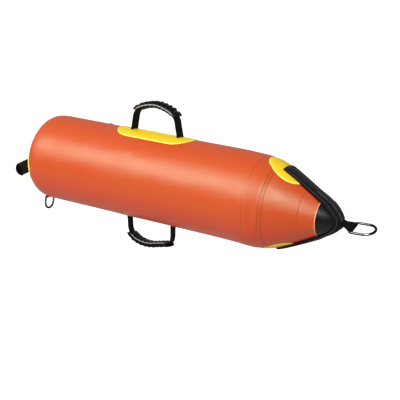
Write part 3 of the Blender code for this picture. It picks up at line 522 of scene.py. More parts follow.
def round_ended(half_line, turn_steps, straight_steps):
    """Round a straight line with a half turn at each end: places on the line, and the ways out from them."""
    starts, normals = [], []
    for end in (1, -1):
        for angle in np.linspace(-math.pi / 2, math.pi / 2, turn_steps):
            starts.append((end * half_line, 0.0))
            normals.append((end * math.cos(angle), end * math.sin(angle)))
        for share in np.linspace(0, 1, straight_steps + 2)[1:-1]:
            starts.append((end * half_line * (1 - 2 * share), 0.0))
            normals.append((0.0, float(end)))
    return np.array(starts), np.array(normals)


def piece(name, points, faces, material, flat=None, **attributes):
    """An object from points and faces. Doubled points are merged and its faces are turned outwards."""
    mesh = bpy.data.meshes.new(name)
    mesh.from_pydata(np.asarray(points, float).reshape(-1, 3).tolist(), [], faces)
    for key, values in attributes.items():
        store = mesh.attributes.new(key, "FLOAT", "POINT")
        store.data.foreach_set("value", np.asarray(values, np.float32).ravel())
    if flat is not None:
        corners = np.empty(len(mesh.loops), np.int32)
        mesh.loops.foreach_get("vertex_index", corners)
        layer = mesh.uv_layers.new(name="flat")
        layer.data.foreach_set("uv", np.asarray(flat, np.float32).reshape(-1, 2)[corners].ravel())
    work = bmesh.new()
    work.from_mesh(mesh)
    bmesh.ops.remove_doubles(work, verts=work.verts, dist=1e-7)
    bmesh.ops.dissolve_degenerate(work, edges=work.edges, dist=1e-8)
    bmesh.ops.recalc_face_normals(work, faces=work.faces)
    work.to_mesh(mesh)
    work.free()
    mesh.shade_smooth()
    mesh.materials.append(material)
    return linked(name, mesh)


def crisp(made, degrees):
    """The piece with its sharper edges left crisp."""
    made.data.set_sharp_from_angle(angle=math.radians(degrees))
    return made


def finished(made, slot, *nodes):
    """The piece stands in place of these plain solids, which are hidden. The slot is not used."""
    if nodes:
        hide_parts(*nodes)
    print(made.name, len(made.data.polygons), "faces")
    return made


def stand_in(made, body, slot, *nodes):
    """The finished piece rides on one body."""
    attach(made, body)
    return finished(made, slot, *nodes)


AROUND = 240
ANGLES = np.linspace(0, 2 * math.pi, AROUND, endpoint=False)


def revolved(name, arcs, lifts, material, relief=0.0, seam=0.0):
    """A closed loop of distances along the skin and heights, carried round the hull."""
    arcs = np.asarray(arcs)[:, None]
    lifts = np.asarray(lifts)[:, None] + np.zeros((1, AROUND)) + relief
    points = on_skin(arcs, ANGLES[None, :], lifts)
    flat = grid_flat(arcs[:, 0], HULL_RADIUS * ANGLES)
    faces = grid_faces(len(arcs), AROUND, True, True)
    return piece(name, points, faces, material, flat, seam=seam + np.zeros(lifts.shape))


print("around the hull", AROUND, "points")

# %% [markdown]
# The real fabric is cut flat, rolled and welded: the tube's front edge laps over the cone's skirt. The lap is
# stiffer than the rest, so it shows as a band with small puckers round the hull between a faint line, where
# the skirt ends inside, and the tube's edge. A third faint line runs round the cone where a lining ends. Each
# line is a shallow groove in the mesh and a mark for the material.

# %% Seam lines and puckers
FABRIC = 0.0012
GAP = 0.0003
TUBE_EDGE = float(arc_at(HULL_LENGTH - 0.1357))
TUBE_WELD = TUBE_EDGE - 0.0060
SKIRT_END = float(arc_at(HULL_LENGTH - 0.1737))
LINING_END = float(arc_at(HULL_LENGTH - 0.0711))
TAIL_SEAM = float(arc_at_tail_radius(0.074))
TIP = float(ARC[-1])
LAP_HEIGHT = 0.00030
PUCKER_HEIGHT = 0.00240
PUCKER_BESIDE = 0.00100
UNEVENNESS = 0.00035
# each line's place, its groove's depth and width, and its painted shade's strength and width
WELD_LINES = (
    (SKIRT_END, 0.00055, 0.0012, 0.45, 0.0016),
    (LINING_END, 0.00040, 0.0012, 0.40, 0.0015),
    (TUBE_WELD, 0.00070, 0.0011, 0.75, 0.0014),
    (TUBE_EDGE, 0.0, 0.0012, 0.90, 0.0012),
)


def bell(distance, width):
    return np.exp(-((distance / width) ** 2))


def skin_noise(s, spacing, rounds, seed):
    """Smooth noise from -1 to 1 over the skin, on a scale along it and another round it."""
    s, angle = np.broadcast_arrays(s, ANGLES[None, :])
    places = np.stack([s / spacing, np.cos(angle) * rounds, np.sin(angle) * rounds], -1).reshape(-1, 3)
    shift = Vector((seed * 7.1, seed * 3.3, seed * 5.7))
    return np.array([noise.noise(Vector(p) + shift) for p in places]).reshape(s.shape)


def hull_relief(arcs):
    """(height, shade) of the weld lines, the puckers in the lap and the fabric's slight unevenness."""
    s = np.asarray(arcs)[:, None]
    grooves = sum(depth * bell(s - place, width) for place, depth, width, _, _ in WELD_LINES)
    shade = sum(strength * bell(s - place, width) for place, _, _, strength, width in WELD_LINES)
    # puckers are full inside the lap, nothing at its weld, and weaker on both sides of it
    inside = np.clip((s - SKIRT_END) / 0.008, 0, 1) * np.clip((TUBE_EDGE - 0.004 - s) / 0.006, 0, 1)
    beside = bell(s - (TUBE_EDGE + 0.010), 0.012) + bell(s - (SKIRT_END - 0.008), 0.008)
    lap = LAP_HEIGHT * np.clip((s - SKIRT_END) / 0.004, 0, 1) * (s < TUBE_EDGE + 1e-9)
    puckers = skin_noise(s, spacing=0.011, rounds=1.6, seed=1.0)
    swell = UNEVENNESS * skin_noise(s, spacing=0.10, rounds=1.0, seed=2.0)
    height = lap - grooves + PUCKER_HEIGHT * inside * puckers + PUCKER_BESIDE * beside * puckers + swell
    return height, np.clip(shade, 0, 1) + np.zeros(height.shape)


print("lap from", round(SKIRT_END, 4), "to", round(TUBE_EDGE, 4))

# %% [markdown]
# The hull is three skins: the tube, the cone, whose skirt goes in under the tube's edge, and the tail's cap.
# Each is as thick as the fabric, so that a cut edge shows, and has its points close together near the weld
# lines.

# %% Tube, tail cap and cone
SKIRT_DEPTH = 0.012


def skin_stops(start, end, lines, coarse=0.006, fine=0.0006, reach=0.006):
    """Distances from start to end, close together near the lines."""
    stops = list(np.arange(start, end, coarse)) + [end]
    for line in lines:
        stops += list(np.arange(max(start, line - reach), min(end, line + reach), fine))
    stops = np.unique(np.round(stops, 6))
    return stops[np.concatenate([[True], np.diff(stops) > fine * 0.4])]


def fabric_shell(name, start, end, lines, skirt):
    """A skin of fabric, out along its face and back along its inside. A skirt goes in below its neighbour."""
    outer = skin_stops(start, end, lines)
    back = [(arc, -FABRIC) for arc in np.linspace(end, start, 40)]
    if skirt:
        below = -FABRIC - GAP
        back += [(start - skirt, below - FABRIC), (start - skirt, below), (start - 0.002, below)]
    arcs, lifts = np.array([(arc, 0.0) for arc in outer] + back).T
    relief, seam = (np.concatenate([face, np.zeros((len(back), AROUND))]) for face in hull_relief(outer))
    return revolved(name, arcs, lifts, ORANGE, relief, seam)


HULL_SKINS = (
    ("hull_tube", TAIL_SEAM, TUBE_EDGE, (SKIRT_END, TUBE_WELD, TUBE_EDGE, TAIL_SEAM), 0),
    ("nose_cone", TUBE_EDGE + 0.0004, TIP - 0.0002, (LINING_END, TUBE_EDGE), SKIRT_DEPTH),
    ("tail_cap", 0.0002, TAIL_SEAM - 0.0004, (TAIL_SEAM,), 0),
)
for node, *shape in HULL_SKINS:
    stand_in(crisp(fabric_shell(node + "_skin", *shape), 50), "hull", "orange_pvc", node)

# %% [markdown]
# The yellow patches are discs and rounded strips of the same fabric, welded over the orange one. A patch is a
# straight middle line with rings of points round it, each ring laid on the skin, so that the patch bends with
# the hull. Its edge is pressed thin by the welding wheel, and there the yellow looks lighter.

# %% Welded patches
PATCH_LIFT = 0.0013
LOWER_PATCH_LIFT = 0.0005
PATCH_SUNK = 0.0004
RIM_WIDTH = 0.0026
PRESSED_WIDTH = 0.0014
HANDLE_FROM_TAIL = 0.2888
NOSE_PATCH_FROM_TIP = 0.1237
TAIL_HANDLE_ROLL = math.radians(10)
TAIL_PATCH_LOWERED = 0.004
# half the length and half the width of each patch
HANDLE_PATCH = {"top": (0.0950, 0.04175), "bottom": (0.0950, 0.0165), "tail": (0.0900, 0.04175)}
NOSE_PATCH = {"top": (0.0420, 0.0420), "bottom": (0.0385, 0.0385)}


def patch_rings(half_length, half_width):
    """Rows of plan points (along, across), from the rim inwards, and each row's distance from the rim."""
    insets = [0, 0.0003, 0.0008, 0.0014, 0.0022, 0.0034, 0.0050, 0.0080, 0.0120, 0.0180, 0.0260, 0.0340]
    insets = np.array([inset for inset in insets if inset <= half_width] + [half_width])
    starts, normals = round_ended(half_length - half_width, 40, 20)
    return np.array([starts + normals * (half_width - inset) for inset in insets]), insets


def patch(name, size, lay, thick=PATCH_LIFT):
    """A welded patch. The lay function puts a plan point at a height over the fabric."""
    rows, insets = patch_rings(*size)
    heights = thick * np.sqrt(1 - (1 - np.clip(insets / PRESSED_WIDTH, 0, 1)) ** 2)
    top = [lay(row, height) for row, height in zip(rows, heights)]
    under = [lay(row, -PATCH_SUNK) for row in rows[::-1]]
    faces = grid_faces(2 * len(rows), rows.shape[1], False, True)
    rim = np.concatenate([bell(insets, RIM_WIDTH), bell(insets[::-1], RIM_WIDTH)])
    made = piece(name + "_skin", top + under, faces, YELLOW, np.concatenate([rows, rows[::-1]]),
                 rim=np.repeat(rim, rows.shape[1]))
    return stand_in(made, "hull", "yellow_pvc", name)


def lay_beside(middle, side):
    """Plan points on the hull's upper or lower side, round a middle given from the tail."""
    def lay(plan, lift):
        arc = arc_at(middle + plan[:, 0])
        angle = np.arcsin(np.clip(plan[:, 1] / (skin_radius(arc) + PATCH_LIFT), -1, 1))
        return on_skin(arc, angle if side > 0 else math.pi - angle, lift)
    return lay


def lay_on_tail(plan, lift):
    """Plan points over the tail, the long way rolled about the float's axis and a little below its middle."""
    c, s = math.cos(TAIL_HANDLE_ROLL), math.sin(TAIL_HANDLE_ROLL)
    towards = c * plan[:, 0] + s * plan[:, 1]
    up = c * plan[:, 1] - s * plan[:, 0] - TAIL_PATCH_LOWERED
    return on_skin(arc_at_tail_radius(np.hypot(towards, up)), np.arctan2(towards, up), lift)


for end, side, thick in (("top", 1, PATCH_LIFT), ("bottom", -1, LOWER_PATCH_LIFT)):
    patch(end + "_handle_patch", HANDLE_PATCH[end], lay_beside(HANDLE_FROM_TAIL, side), thick)
    patch("nose_patch_" + end, NOSE_PATCH[end], lay_beside(HULL_LENGTH - NOSE_PATCH_FROM_TIP, side))
patch("tail_handle_patch", HANDLE_PATCH["tail"], lay_on_tail)

# %% [markdown]
# The bumper is a moulded rubber cap. It is turned like the hull, with a rounded edge, and a thin bead runs
# round that edge where it was bonded to the cone. The bead's pale colour is a painted highlight.

# %% Nose bumper
BUMPER_EDGE = float(arc_at(HULL_LENGTH - 0.0407))
BUMPER_END = TIP - 0.0001
BUMPER_WALL = 0.0019
BUMPER_ROUND = 0.0012
BUMPER_SUNK = 0.0002
# the middle of the bead's section and half its size, along the skin and over it
EDGE_BEAD_MIDDLE = (BUMPER_EDGE - 0.0006, 0.0002)
EDGE_BEAD_HALF = (0.0009, 0.0006)


def make_bumper():
    """A moulded cap: out along its face, back along its inside and round its edge."""
    outer = skin_stops(BUMPER_EDGE + BUMPER_ROUND, BUMPER_END, (BUMPER_EDGE,), 0.0022)
    outline = [(arc, BUMPER_WALL) for arc in outer]
    outline += [(BUMPER_END, -BUMPER_SUNK), (BUMPER_EDGE + 0.0004, -BUMPER_SUNK)]
    for angle in np.linspace(-0.3, math.pi / 2, 7)[:-1]:
        arc = BUMPER_EDGE + BUMPER_ROUND - BUMPER_ROUND * math.cos(angle)
        outline.append((arc, BUMPER_WALL * (0.5 + 0.5 * math.sin(angle))))
    made = revolved("nose_bumper_shell", *np.array(outline).T, BUMPER_RUBBER)
    return stand_in(made, "hull", "black_rubber", "nose_bumper")


def make_edge_bead():
    """A bead round the bumper's edge, half sunk in the fabric."""
    angle = np.linspace(0, 2 * math.pi, 10, endpoint=False)
    arcs = EDGE_BEAD_MIDDLE[0] + EDGE_BEAD_HALF[0] * np.cos(angle)
    lifts = EDGE_BEAD_MIDDLE[1] + EDGE_BEAD_HALF[1] * np.sin(angle)
    made = revolved("bumper_edge_bead", arcs, lifts, EDGE_BEAD_HIGHLIGHT)
    return stand_in(made, "hull", "orange_pvc")


make_bumper()
make_edge_bead()

# %% [markdown]
# The nose strap is one length of 50 mm webbing that runs from the upper nose patch over the tip to the lower
# one. It is a grid: each line of it is the cut that an upright plane makes in the nose, so the strap wraps
# the cone and its two edges meet in a V at the tip. It lies a few millimetres off the middle, as in the
# photograph. Low ridges run along it beside the stitching. Near the tip it swells, because the end of the tow
# loop is sewn in there.

# %% Nose strap
STRAP_HALF = 0.0245
STRAP_SHIFT = 0.0035
STRAP_LEAN = 0.0025
STRAP_END = float(arc_at(HULL_LENGTH - 0.1272))
STRAP_UNDER = 0.0022
STRAP_THICK = 0.0018
STRAP_FACE = STRAP_UNDER + STRAP_THICK
STRAP_ROUND = 0.0008
EDGE_THINNER = 0.35
END_SUNK = 0.0020
SECOND_LAYER = 0.0009
SECOND_LAYER_HALF = 0.0165
SECOND_LAYER_START = TIP - 0.046
UPPER_SWELLING = 0.0030
UPPER_SWELLING_AT = TIP - 0.052
UPPER_SWELLING_WIDTH = 0.026
LOWER_SWELLING = 0.0016
LOWER_SWELLING_UNTIL = TIP - 0.045
LOWER_SWELLING_EASE = 0.012
STITCHES_OUT = 0.0204
# place, height and width of the selvages, the outer stitches' furrows, the ridges and the hollows inside them
STRAP_RIDGES = (
    (0.0228, 0.00035, 0.0011),
    (STITCHES_OUT, -0.00035, 0.0010),
    (0.0108, 0.00045, 0.0024),
    (0.0060, -0.00030, 0.0016),
)


def strap_line(across, lift, steps=150):
    """A line of the strap from its upper end over the tip: distances along the skin, angles and shares."""
    arcs = np.linspace(STRAP_END, TIP, 800)
    apex = np.interp(-abs(across - STRAP_SHIFT), -skin_radius(arcs, lift), arcs)
    share = np.linspace(-1, 1, steps)
    arc = apex - (apex - STRAP_END) * share**2
    across = across - STRAP_SHIFT - STRAP_LEAN * share
    angle = np.arcsin(np.clip(across / np.maximum(skin_radius(arc, lift), 1e-6), -1, 1))
    return arc, np.where(share < 0, angle, math.pi - angle), share


def strap_height(across, arc, share):
    """The strap's relief over its face, with the second layer near the tip and the swelling there."""
    y = abs(across)
    ridges = sum(height * bell(y - place, width) for place, height, width in STRAP_RIDGES)
    second = SECOND_LAYER * float(y < SECOND_LAYER_HALF) * np.clip((arc - SECOND_LAYER_START) / 0.0012, 0, 1)
    upper = UPPER_SWELLING * bell(arc - UPPER_SWELLING_AT, UPPER_SWELLING_WIDTH)
    lower = LOWER_SWELLING * np.clip((LOWER_SWELLING_UNTIL - arc) / LOWER_SWELLING_EASE, 0, 1)
    swelling = np.where(share < 0, upper, lower) * np.clip((arc - STRAP_END) / 0.006, 0, 1)
    return ridges + second * (share < 0.25) + swelling


def make_strap():
    """The strap's face and underside, joined round their edges. Its ends go down behind the bumper's edge."""
    layer_edges = [-SECOND_LAYER_HALF - 0.0005, SECOND_LAYER_HALF + 0.0005]
    top, under, flat = [], [], []
    for y in np.unique(np.concatenate([np.linspace(-STRAP_HALF, STRAP_HALF, 53), layer_edges])):
        arc, angle, share = strap_line(y, STRAP_FACE)
        edge = max(0.0, (abs(y) - (STRAP_HALF - STRAP_ROUND)) / STRAP_ROUND)
        lift = STRAP_UNDER + STRAP_THICK * (1 - EDGE_THINNER * edge**2) + strap_height(y, arc, share)
        sink = END_SUNK * np.clip((BUMPER_EDGE - arc) / 0.004, 0, 1)
        top.append(on_skin(arc, angle, lift))
        under.append(on_skin(arc, angle, STRAP_UNDER - sink))
        flat.append([(run, y) for run in run_along(top[-1])])
    rows, columns = len(top), len(top[0])
    count = rows * columns
    faces = grid_faces(rows, columns) + grid_faces(rows, columns, start=count)
    edges = [(i * columns + j, i * columns + j + 1) for j in range(columns - 1) for i in (0, rows - 1)]
    edges += [(i * columns + j, (i + 1) * columns + j) for i in range(rows - 1) for j in (0, columns - 1)]
    faces += [(a, b, b + count, a + count) for a, b in edges]
    made = piece("nose_strap_webbing", top + under, faces, STRAP_WEBBING, flat + flat)
    return stand_in(crisp(made, 50), "hull", "black_webbing", "nose_strap")


make_strap()

# %% [markdown]
# A handle is a strap of about 24 mm webbing in an arch. Its line in the handle's plane goes through a few
# knots, which a smooth curve joins, and everything on the handle is placed by its distance along that curve.
# The strap's feet go down into the patch. Where a handle is turned down, the strap bends just above its
# feet, which the hang function gives.

# %% Handle paths and frames
UPRIGHT_PATH = (
    (-0.0590, 0.000), (-0.0575, 0.020), (-0.0545, 0.0385), (-0.0410, 0.0525), (-0.0040, 0.0610),
    (0.0330, 0.0525), (0.0470, 0.0385), (0.0530, 0.020), (0.0590, 0.000),
)
HANGING_PATH = (
    (-0.0560, 0.000), (-0.0532, 0.012), (-0.0505, 0.0285), (-0.0425, 0.0425), (-0.0300, 0.0510),
    (-0.0100, 0.0555), (0.0100, 0.0548), (0.0300, 0.0500), (0.0480, 0.0455), (0.0575, 0.0395),
    (0.0600, 0.0290), (0.0592, 0.014), (0.0580, 0.000),
)
TAIL_PATH = [(along, 1.3 * height) for along, height in UPRIGHT_PATH]
TAIL_HANDLE_DROOP = math.radians(25)
TAIL_HANDLE_LOWERED = 0.014
PIVOT_HEIGHT = 0.01335
TAIL_FACE = OUTLINE[:ROUND_POINTS]
TAIL_DROP_AT_FEET = float(np.interp(UPRIGHT_PATH[-1][0], TAIL_FACE[:, 1], TAIL_FACE[:, 0])) - TAIL_X


def smooth_path(knots):
    """Close points along a smooth curve through the knots, and the distance along it to each."""
    knots = [Vector(k) for k in knots]
    knots = [2 * knots[0] - knots[1]] + knots + [2 * knots[-1] - knots[-2]]
    fine = []
    for a, b, c, d in zip(knots, knots[1:], knots[2:], knots[3:]):
        for t in np.linspace(0, 1, 40, endpoint=False):
            bend = (2 * a - 5 * b + 4 * c - d) * t**2 + (3 * b - 3 * c + d - a) * t**3
            fine.append(b + ((c - a) * t + bend) / 2)
    fine = np.array(fine + [knots[-2]])
    return fine, run_along(fine)


def swept(path, stops, across, outward, ahead=0.0):
    """Sections at stops along a path: points across its plane, out of its curve and ahead along it."""
    fine, run = path
    point, after, before = (np.stack([np.interp(stops + step, run, fine[:, k]) for k in (0, 1)], -1)
                            for step in (0.0, 0.001, -0.001))
    way = (after - before) / np.linalg.norm(after - before, axis=1)[:, None]
    out = np.stack([-way[:, 1], way[:, 0]], -1)
    x, z = (point[:, None, k] + out[:, None, k] * outward + way[:, None, k] * ahead for k in (0, 1))
    return np.stack(np.broadcast_arrays(x, across, z), -1)


def side_frame(side):
    """Local X lies along the float and local Z points out of the hull, from the skin between the feet."""
    place = Matrix.Translation((TAIL_X + HANDLE_FROM_TAIL, 0, 0))
    upright = Matrix.Rotation(0 if side > 0 else math.pi, 4, "X")
    return place @ upright @ Matrix.Translation((0, 0, HULL_RADIUS))


def tail_frame():
    """Local X lies across the tail, rolled a little, and local Z points back out of it."""
    out = Vector((-1, 0, 0))
    across = Vector((0, -math.cos(TAIL_HANDLE_ROLL), -math.sin(TAIL_HANDLE_ROLL)))
    return Matrix.Translation((TAIL_X, 0, -TAIL_HANDLE_LOWERED)) @ turned_to(across, out.cross(across), out)


def placed(frame_matrix, points):
    """Points given in a frame, as places in the scene."""
    matrix = np.array(frame_matrix)
    return np.asarray(points, float) @ matrix[:3, :3].T + matrix[:3, 3]


print("drop of the tail at the handle's feet", round(TAIL_DROP_AT_FEET, 4))

# %% [markdown]
# Webbing is a loft: one flat section with rounded edges, repeated along the path. Lofting by hand keeps
# control of the UV map, which carries the weave along the strap. Each strap is as wide as it looks in the
# photograph, where the upper one is turned a little to the camera and the lower one a little away.

# %% Handle webbing
WEBBING_WIDTH = {"top_handle": 0.0258, "bottom_handle": 0.0195, "tail_handle": 0.0235}
WEBBING = 0.0028
FOOT_SUNK = 0.0008
BEND_START = 0.002
BEND_END = 0.021
STRAP_STEPS = 170


def flat_section(width, thickness):
    """Points (across, out) round a flat strap with rounded edges."""
    starts, normals = round_ended(width / 2 - thickness / 2, 4, 3)
    return starts + normals * thickness / 2


def loft(name, rings, material, flat, closed_path=False, **attributes):
    """Rings of points joined along the way, with both ends closed unless the path is a loop."""
    rows, columns = rings.shape[:2]
    faces = grid_faces(rows, columns, closed_path, True)
    if not closed_path:
        faces += [tuple(range(columns))[::-1], tuple((rows - 1) * columns + i for i in range(columns))]
    return piece(name, rings, faces, material, flat, **attributes)


def hang(points, surface, droop_angle, whole=False):
    """Handle points turned down about the line on which it folds, all of them or only past the bend."""
    x, y, height = np.moveaxis(np.array(points, float), -1, 0)
    share = np.clip((height - surface - BEND_START) / (BEND_END - BEND_START), 0, 1)
    angle = droop_angle * (1 if whole else eased(share))
    z = height - surface - PIVOT_HEIGHT
    c, s = np.cos(angle), np.sin(angle)
    return np.stack([x, y * c - z * s, y * s + z * c + surface + PIVOT_HEIGHT], -1)


def make_handle_webbing(name, path, frame_matrix, surface, droop_angle):
    """A strap bent in an arch. Where its feet stand off the hull, its legs go straight on down to it."""
    total = path[1][-1]
    stops = np.linspace(PATCH_LIFT - FOOT_SUNK if surface >= 0 else 0.0, total, STRAP_STEPS)
    across, out = flat_section(WEBBING_WIDTH[name], WEBBING).T
    rings = swept(path, stops, across, out)
    if surface < 0:
        legs = rings[[0, -1]] + (0, 0, surface)
        rings = np.concatenate([legs[:1], rings, legs[1:]])
        stops = np.concatenate([[surface], stops, [total - surface]])
    rings = placed(frame_matrix, hang(rings, surface, droop_angle))
    made = loft(name + "_webbing_strap", rings, HANDLE_WEBBING, grid_flat(stops, across))
    bend = [(0, 0, surface + BEND_START), (0, 0, surface + BEND_END)]
    start, end = placed(frame_matrix, hang(bend, surface, droop_angle))
    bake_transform(made)
    return finished(made, "black_webbing", name + "_webbing")


HANDLES = (
    ("top_handle", smooth_path(UPRIGHT_PATH), side_frame(1), 0.0, 0.0),
    ("bottom_handle", smooth_path(HANGING_PATH), side_frame(-1), 0.0, 0.0),
    ("tail_handle", smooth_path(TAIL_PATH), tail_frame(), -TAIL_DROP_AT_FEET, TAIL_HANDLE_DROOP),
)
for handle in HANDLES:
    make_handle_webbing(*handle)

# %% [markdown]
# The grips are the float's finest moulding: a rubber sleeve with ten finger scallops on its outer side, small
# ripples on its inner side, a raised parting line along each flank and a lip that sticks out past each end.
# Each is a loft along the strap's own path, and its inside is a slot for the strap that opens towards the
# lips. The tail's grip has lower shoulders, because its outline in the photograph comes to a point.

# %% Grips
GRIP_LENGTH = 0.106
GRIP_WIDTH = 0.029
GRIP_OUTER = {"top_handle": 0.0085, "bottom_handle": 0.0066, "tail_handle": 0.0085}
GRIP_INNER = 0.0070
GRIP_SHOULDER = {"top_handle": 0.0, "bottom_handle": 0.0, "tail_handle": 0.0060}
GRIP_SLIP = {"top_handle": 0.0, "bottom_handle": -0.003, "tail_handle": 0.0}
GRIP_SCALLOPS = 10
GRIP_SQUARING = 0.6
SCALLOP_DEPTH = {"top_handle": 0.0030, "bottom_handle": 0.0012, "tail_handle": 0.0030}
# where the parting line runs on a flank and how wide it is, as sines of the angle round the grip
PARTING_LINE = {"top_handle": (0.03, 0.045), "bottom_handle": (-0.55, 0.10), "tail_handle": (0.03, 0.045)}
PARTING_HEIGHT = 0.0007
# how strong the painted highlight along the parting line is
PARTING_HIGHLIGHT = 0.35
RIPPLE_DEPTH = 0.0010
WAIST = 60
LIP_LENGTH = 0.013
LIP_REACH = 0.0040
LIP_TUCK = 0.0010
LIP_THICK = 0.0015
LIP_HOLLOW = 0.0044
LIP_WIDER = 0.02
MOUTH_LENGTH = 0.012
MOUTH_DEPTH = 0.0025
SLOT_SQUARING = 0.35
SLOT_ROOM_OUT = 0.0003
SLOT_ROOM_ACROSS = 0.0004
PARTING_POINTS = np.radians([-40.0, -33.0, -28.0, -5.0, -2.0, 0.0, 2.0, 4.0, 7.0])
EVEN_POINTS = np.linspace(0, 2 * math.pi, 48, endpoint=False)
GRIP_ROUND = np.concatenate([EVEN_POINTS, PARTING_POINTS, math.pi - PARTING_POINTS])
GRIP_ROUND = np.unique(np.round(GRIP_ROUND % (2 * math.pi), 5))
# turns an angle round the grip into metres for the UV map
FLAT_RADIUS = 0.012


def squared(values, power):
    """Sines or cosines of a circle, pushed out so that it becomes a rounded square."""
    return np.sign(values) * np.abs(values) ** power


def grip_outside(name, path, start, along):
    """Rings of the grip's outside in the handle's frame, and how much painted highlight each point takes."""
    scallop, (line_place, line_width) = SCALLOP_DEPTH[name], PARTING_LINE[name]
    share = along[:, None] / GRIP_LENGTH
    c, s = np.cos(GRIP_ROUND), np.sin(GRIP_ROUND)
    square_c, square_s = squared(c, GRIP_SQUARING), squared(s, GRIP_SQUARING)
    flare = np.clip(1 - np.minimum(share, 1 - share) * GRIP_LENGTH / LIP_LENGTH, 0, 1) ** 2
    calm = 1 - flare
    wave = np.abs(np.cos(math.pi * share * GRIP_SCALLOPS))
    ripple = 0.5 - 0.5 * np.cos(2 * math.pi * share * GRIP_SCALLOPS)
    upper = np.clip((s - 0.05) / 0.25, 0, 1)
    line = bell(s - line_place, line_width) * (np.abs(c) > 0.5) * calm
    shoulder = GRIP_SHOULDER[name] * square_c**2
    outer = GRIP_OUTER[name] + LIP_THICK * flare - scallop * wave**3 * calm * upper - shoulder
    inner = GRIP_INNER - RIPPLE_DEPTH * ripple * calm - LIP_HOLLOW * flare
    width = GRIP_WIDTH * (1 - WAIST * scallop * wave**2 * calm * upper) * (1 + LIP_WIDER * flare)
    across = width / 2 * square_c + PARTING_HEIGHT * line * np.sign(c)
    outward = np.where(s > 0, outer, inner) * square_s
    ahead = np.where(share < 0.5, -flare, flare) * (LIP_REACH * np.clip(square_s, 0, 1) - LIP_TUCK)
    return swept(path, start + along, across, outward, ahead), PARTING_HIGHLIGHT * (1 + wave) * line


def grip_inside(name, path, start, along):
    """Rings of the slot for the strap. It opens at both ends towards the lips."""
    slot_z = squared(np.sin(GRIP_ROUND), SLOT_SQUARING)
    mouth = np.zeros((len(along), 1))
    mouth[[0, -1]] = MOUTH_DEPTH
    outward = slot_z * (WEBBING / 2 + SLOT_ROOM_OUT + mouth * (slot_z > 0))
    half = WEBBING_WIDTH[name] / 2 + SLOT_ROOM_ACROSS
    across = squared(np.cos(GRIP_ROUND), SLOT_SQUARING) * half
    return swept(path, start + along, across, outward)


def make_grip(name, path, frame_matrix, surface, droop_angle):
    """A sleeve: out along its outside and back through its slot."""
    start = path[1][-1] / 2 + GRIP_SLIP[name] - GRIP_LENGTH / 2
    along = np.linspace(0, GRIP_LENGTH, 16 * GRIP_SCALLOPS + 1)
    within = np.linspace(MOUTH_LENGTH, GRIP_LENGTH - MOUTH_LENGTH, 40)
    back = np.concatenate([[GRIP_LENGTH], within[::-1], [0.0]])
    outside, worn = grip_outside(name, path, start, along)
    inside = grip_inside(name, path, start, back)
    rings = placed(frame_matrix, hang(np.concatenate([outside, inside]), surface, droop_angle, True))
    flat = grid_flat(np.concatenate([along, back]), GRIP_ROUND * FLAT_RADIUS)
    worn = np.concatenate([worn, np.zeros(inside.shape[:2])])
    made = loft(name + "_grip_sleeve", rings, GRIP_RUBBER, flat, True, worn=worn)
    return stand_in(crisp(made, 45), name, "grip_rubber", name + "_grip")


for handle in HANDLES:
    make_grip(*handle)

# %% [markdown]
# The tow ring and the keel ring are round steel wire, bent to a D and welded. Geometry Nodes sweep them: a
# closed line of points becomes a curve, and a circle is carried along it. The wire's thickness is an input,
# so one tree makes both rings.

# %% A tree that sweeps wire
def new_tree(name, numbers):
    """A geometry tree with one mesh input, number inputs with their values, and a material input."""
    tree = bpy.data.node_groups.new(name, "GeometryNodeTree")
    tree.interface.new_socket("Geometry", in_out="INPUT", socket_type="NodeSocketGeometry")
    for key, value in numbers.items():
        tree.interface.new_socket(key, in_out="INPUT", socket_type="NodeSocketFloat").default_value = value
    tree.interface.new_socket("Material", in_out="INPUT", socket_type="NodeSocketMaterial")
    tree.interface.new_socket("Geometry", in_out="OUTPUT", socket_type="NodeSocketGeometry")
    return tree, add(tree, "NodeGroupInput").outputs


def end_tree(tree, geometry, given):
    """The geometry leaves the tree as one mesh with its material."""
    real = add(tree, "GeometryNodeRealizeInstances", {"Geometry": geometry}).outputs[0]
    painted = add(tree, "GeometryNodeSetMaterial", {"Geometry": real, "Material": given["Material"]})
    add(tree, "NodeGroupOutput", {"Geometry": painted.outputs[0]})
    return tree


def grown(name, tree, points, edges, material, **numbers):
    """A plain mesh made by the tree from a line of points."""
    line = bpy.data.meshes.new(name + "_line")
    line.from_pydata([tuple(p) for p in points], edges, [])
    source = linked(name + "_line", line)
    modifier = source.modifiers.new("nodes", "NODES")
    modifier.node_group = tree
    given = {"Material": material, **numbers}
    for item in tree.interface.items_tree:
        if item.in_out == "INPUT" and item.name in given:
            modifier[item.identifier] = given[item.name]
    bpy.context.view_layer.update()
    mesh = bpy.data.meshes.new_from_object(source.evaluated_get(bpy.context.evaluated_depsgraph_get()))
    bpy.data.objects.remove(source)
    mesh.name = name
    mesh.materials.clear()
    mesh.materials.append(material)
    mesh.shade_smooth()
    return linked(name, mesh)


def wire_tree():
    tree, given = new_tree("bent_wire", {"Radius": 0.002})
    line = add(tree, "GeometryNodeMeshToCurve", {"Mesh": given["Geometry"]})
    section = add(tree, "GeometryNodeCurvePrimitiveCircle", {"Resolution": 20, "Radius": given["Radius"]})
    both = {"Curve": line.outputs[0], "Profile Curve": section.outputs[0]}
    wire = add(tree, "GeometryNodeCurveToMesh", both)
    return end_tree(tree, wire.outputs[0], given)


WIRE_TREE = wire_tree()
print("tree", WIRE_TREE.name)

# %% [markdown]
# The tow ring lies nearly flat ahead of the nose, rolled a little about the float's axis, and the keel ring
# hangs below the tail. Their bars are where the solid model has them.

# %% Rings
TOW_ROLL = math.radians(18)
TOW_PITCH = math.radians(15)
TOW_RING_RISE = math.radians(3)
TOW_RING = {"width": 0.0450, "length": 0.0490, "wire": 0.0054}
KEEL_RING = {"width": 0.0330, "length": 0.0310, "wire": 0.0048}
BAR_CORNER = 0.004


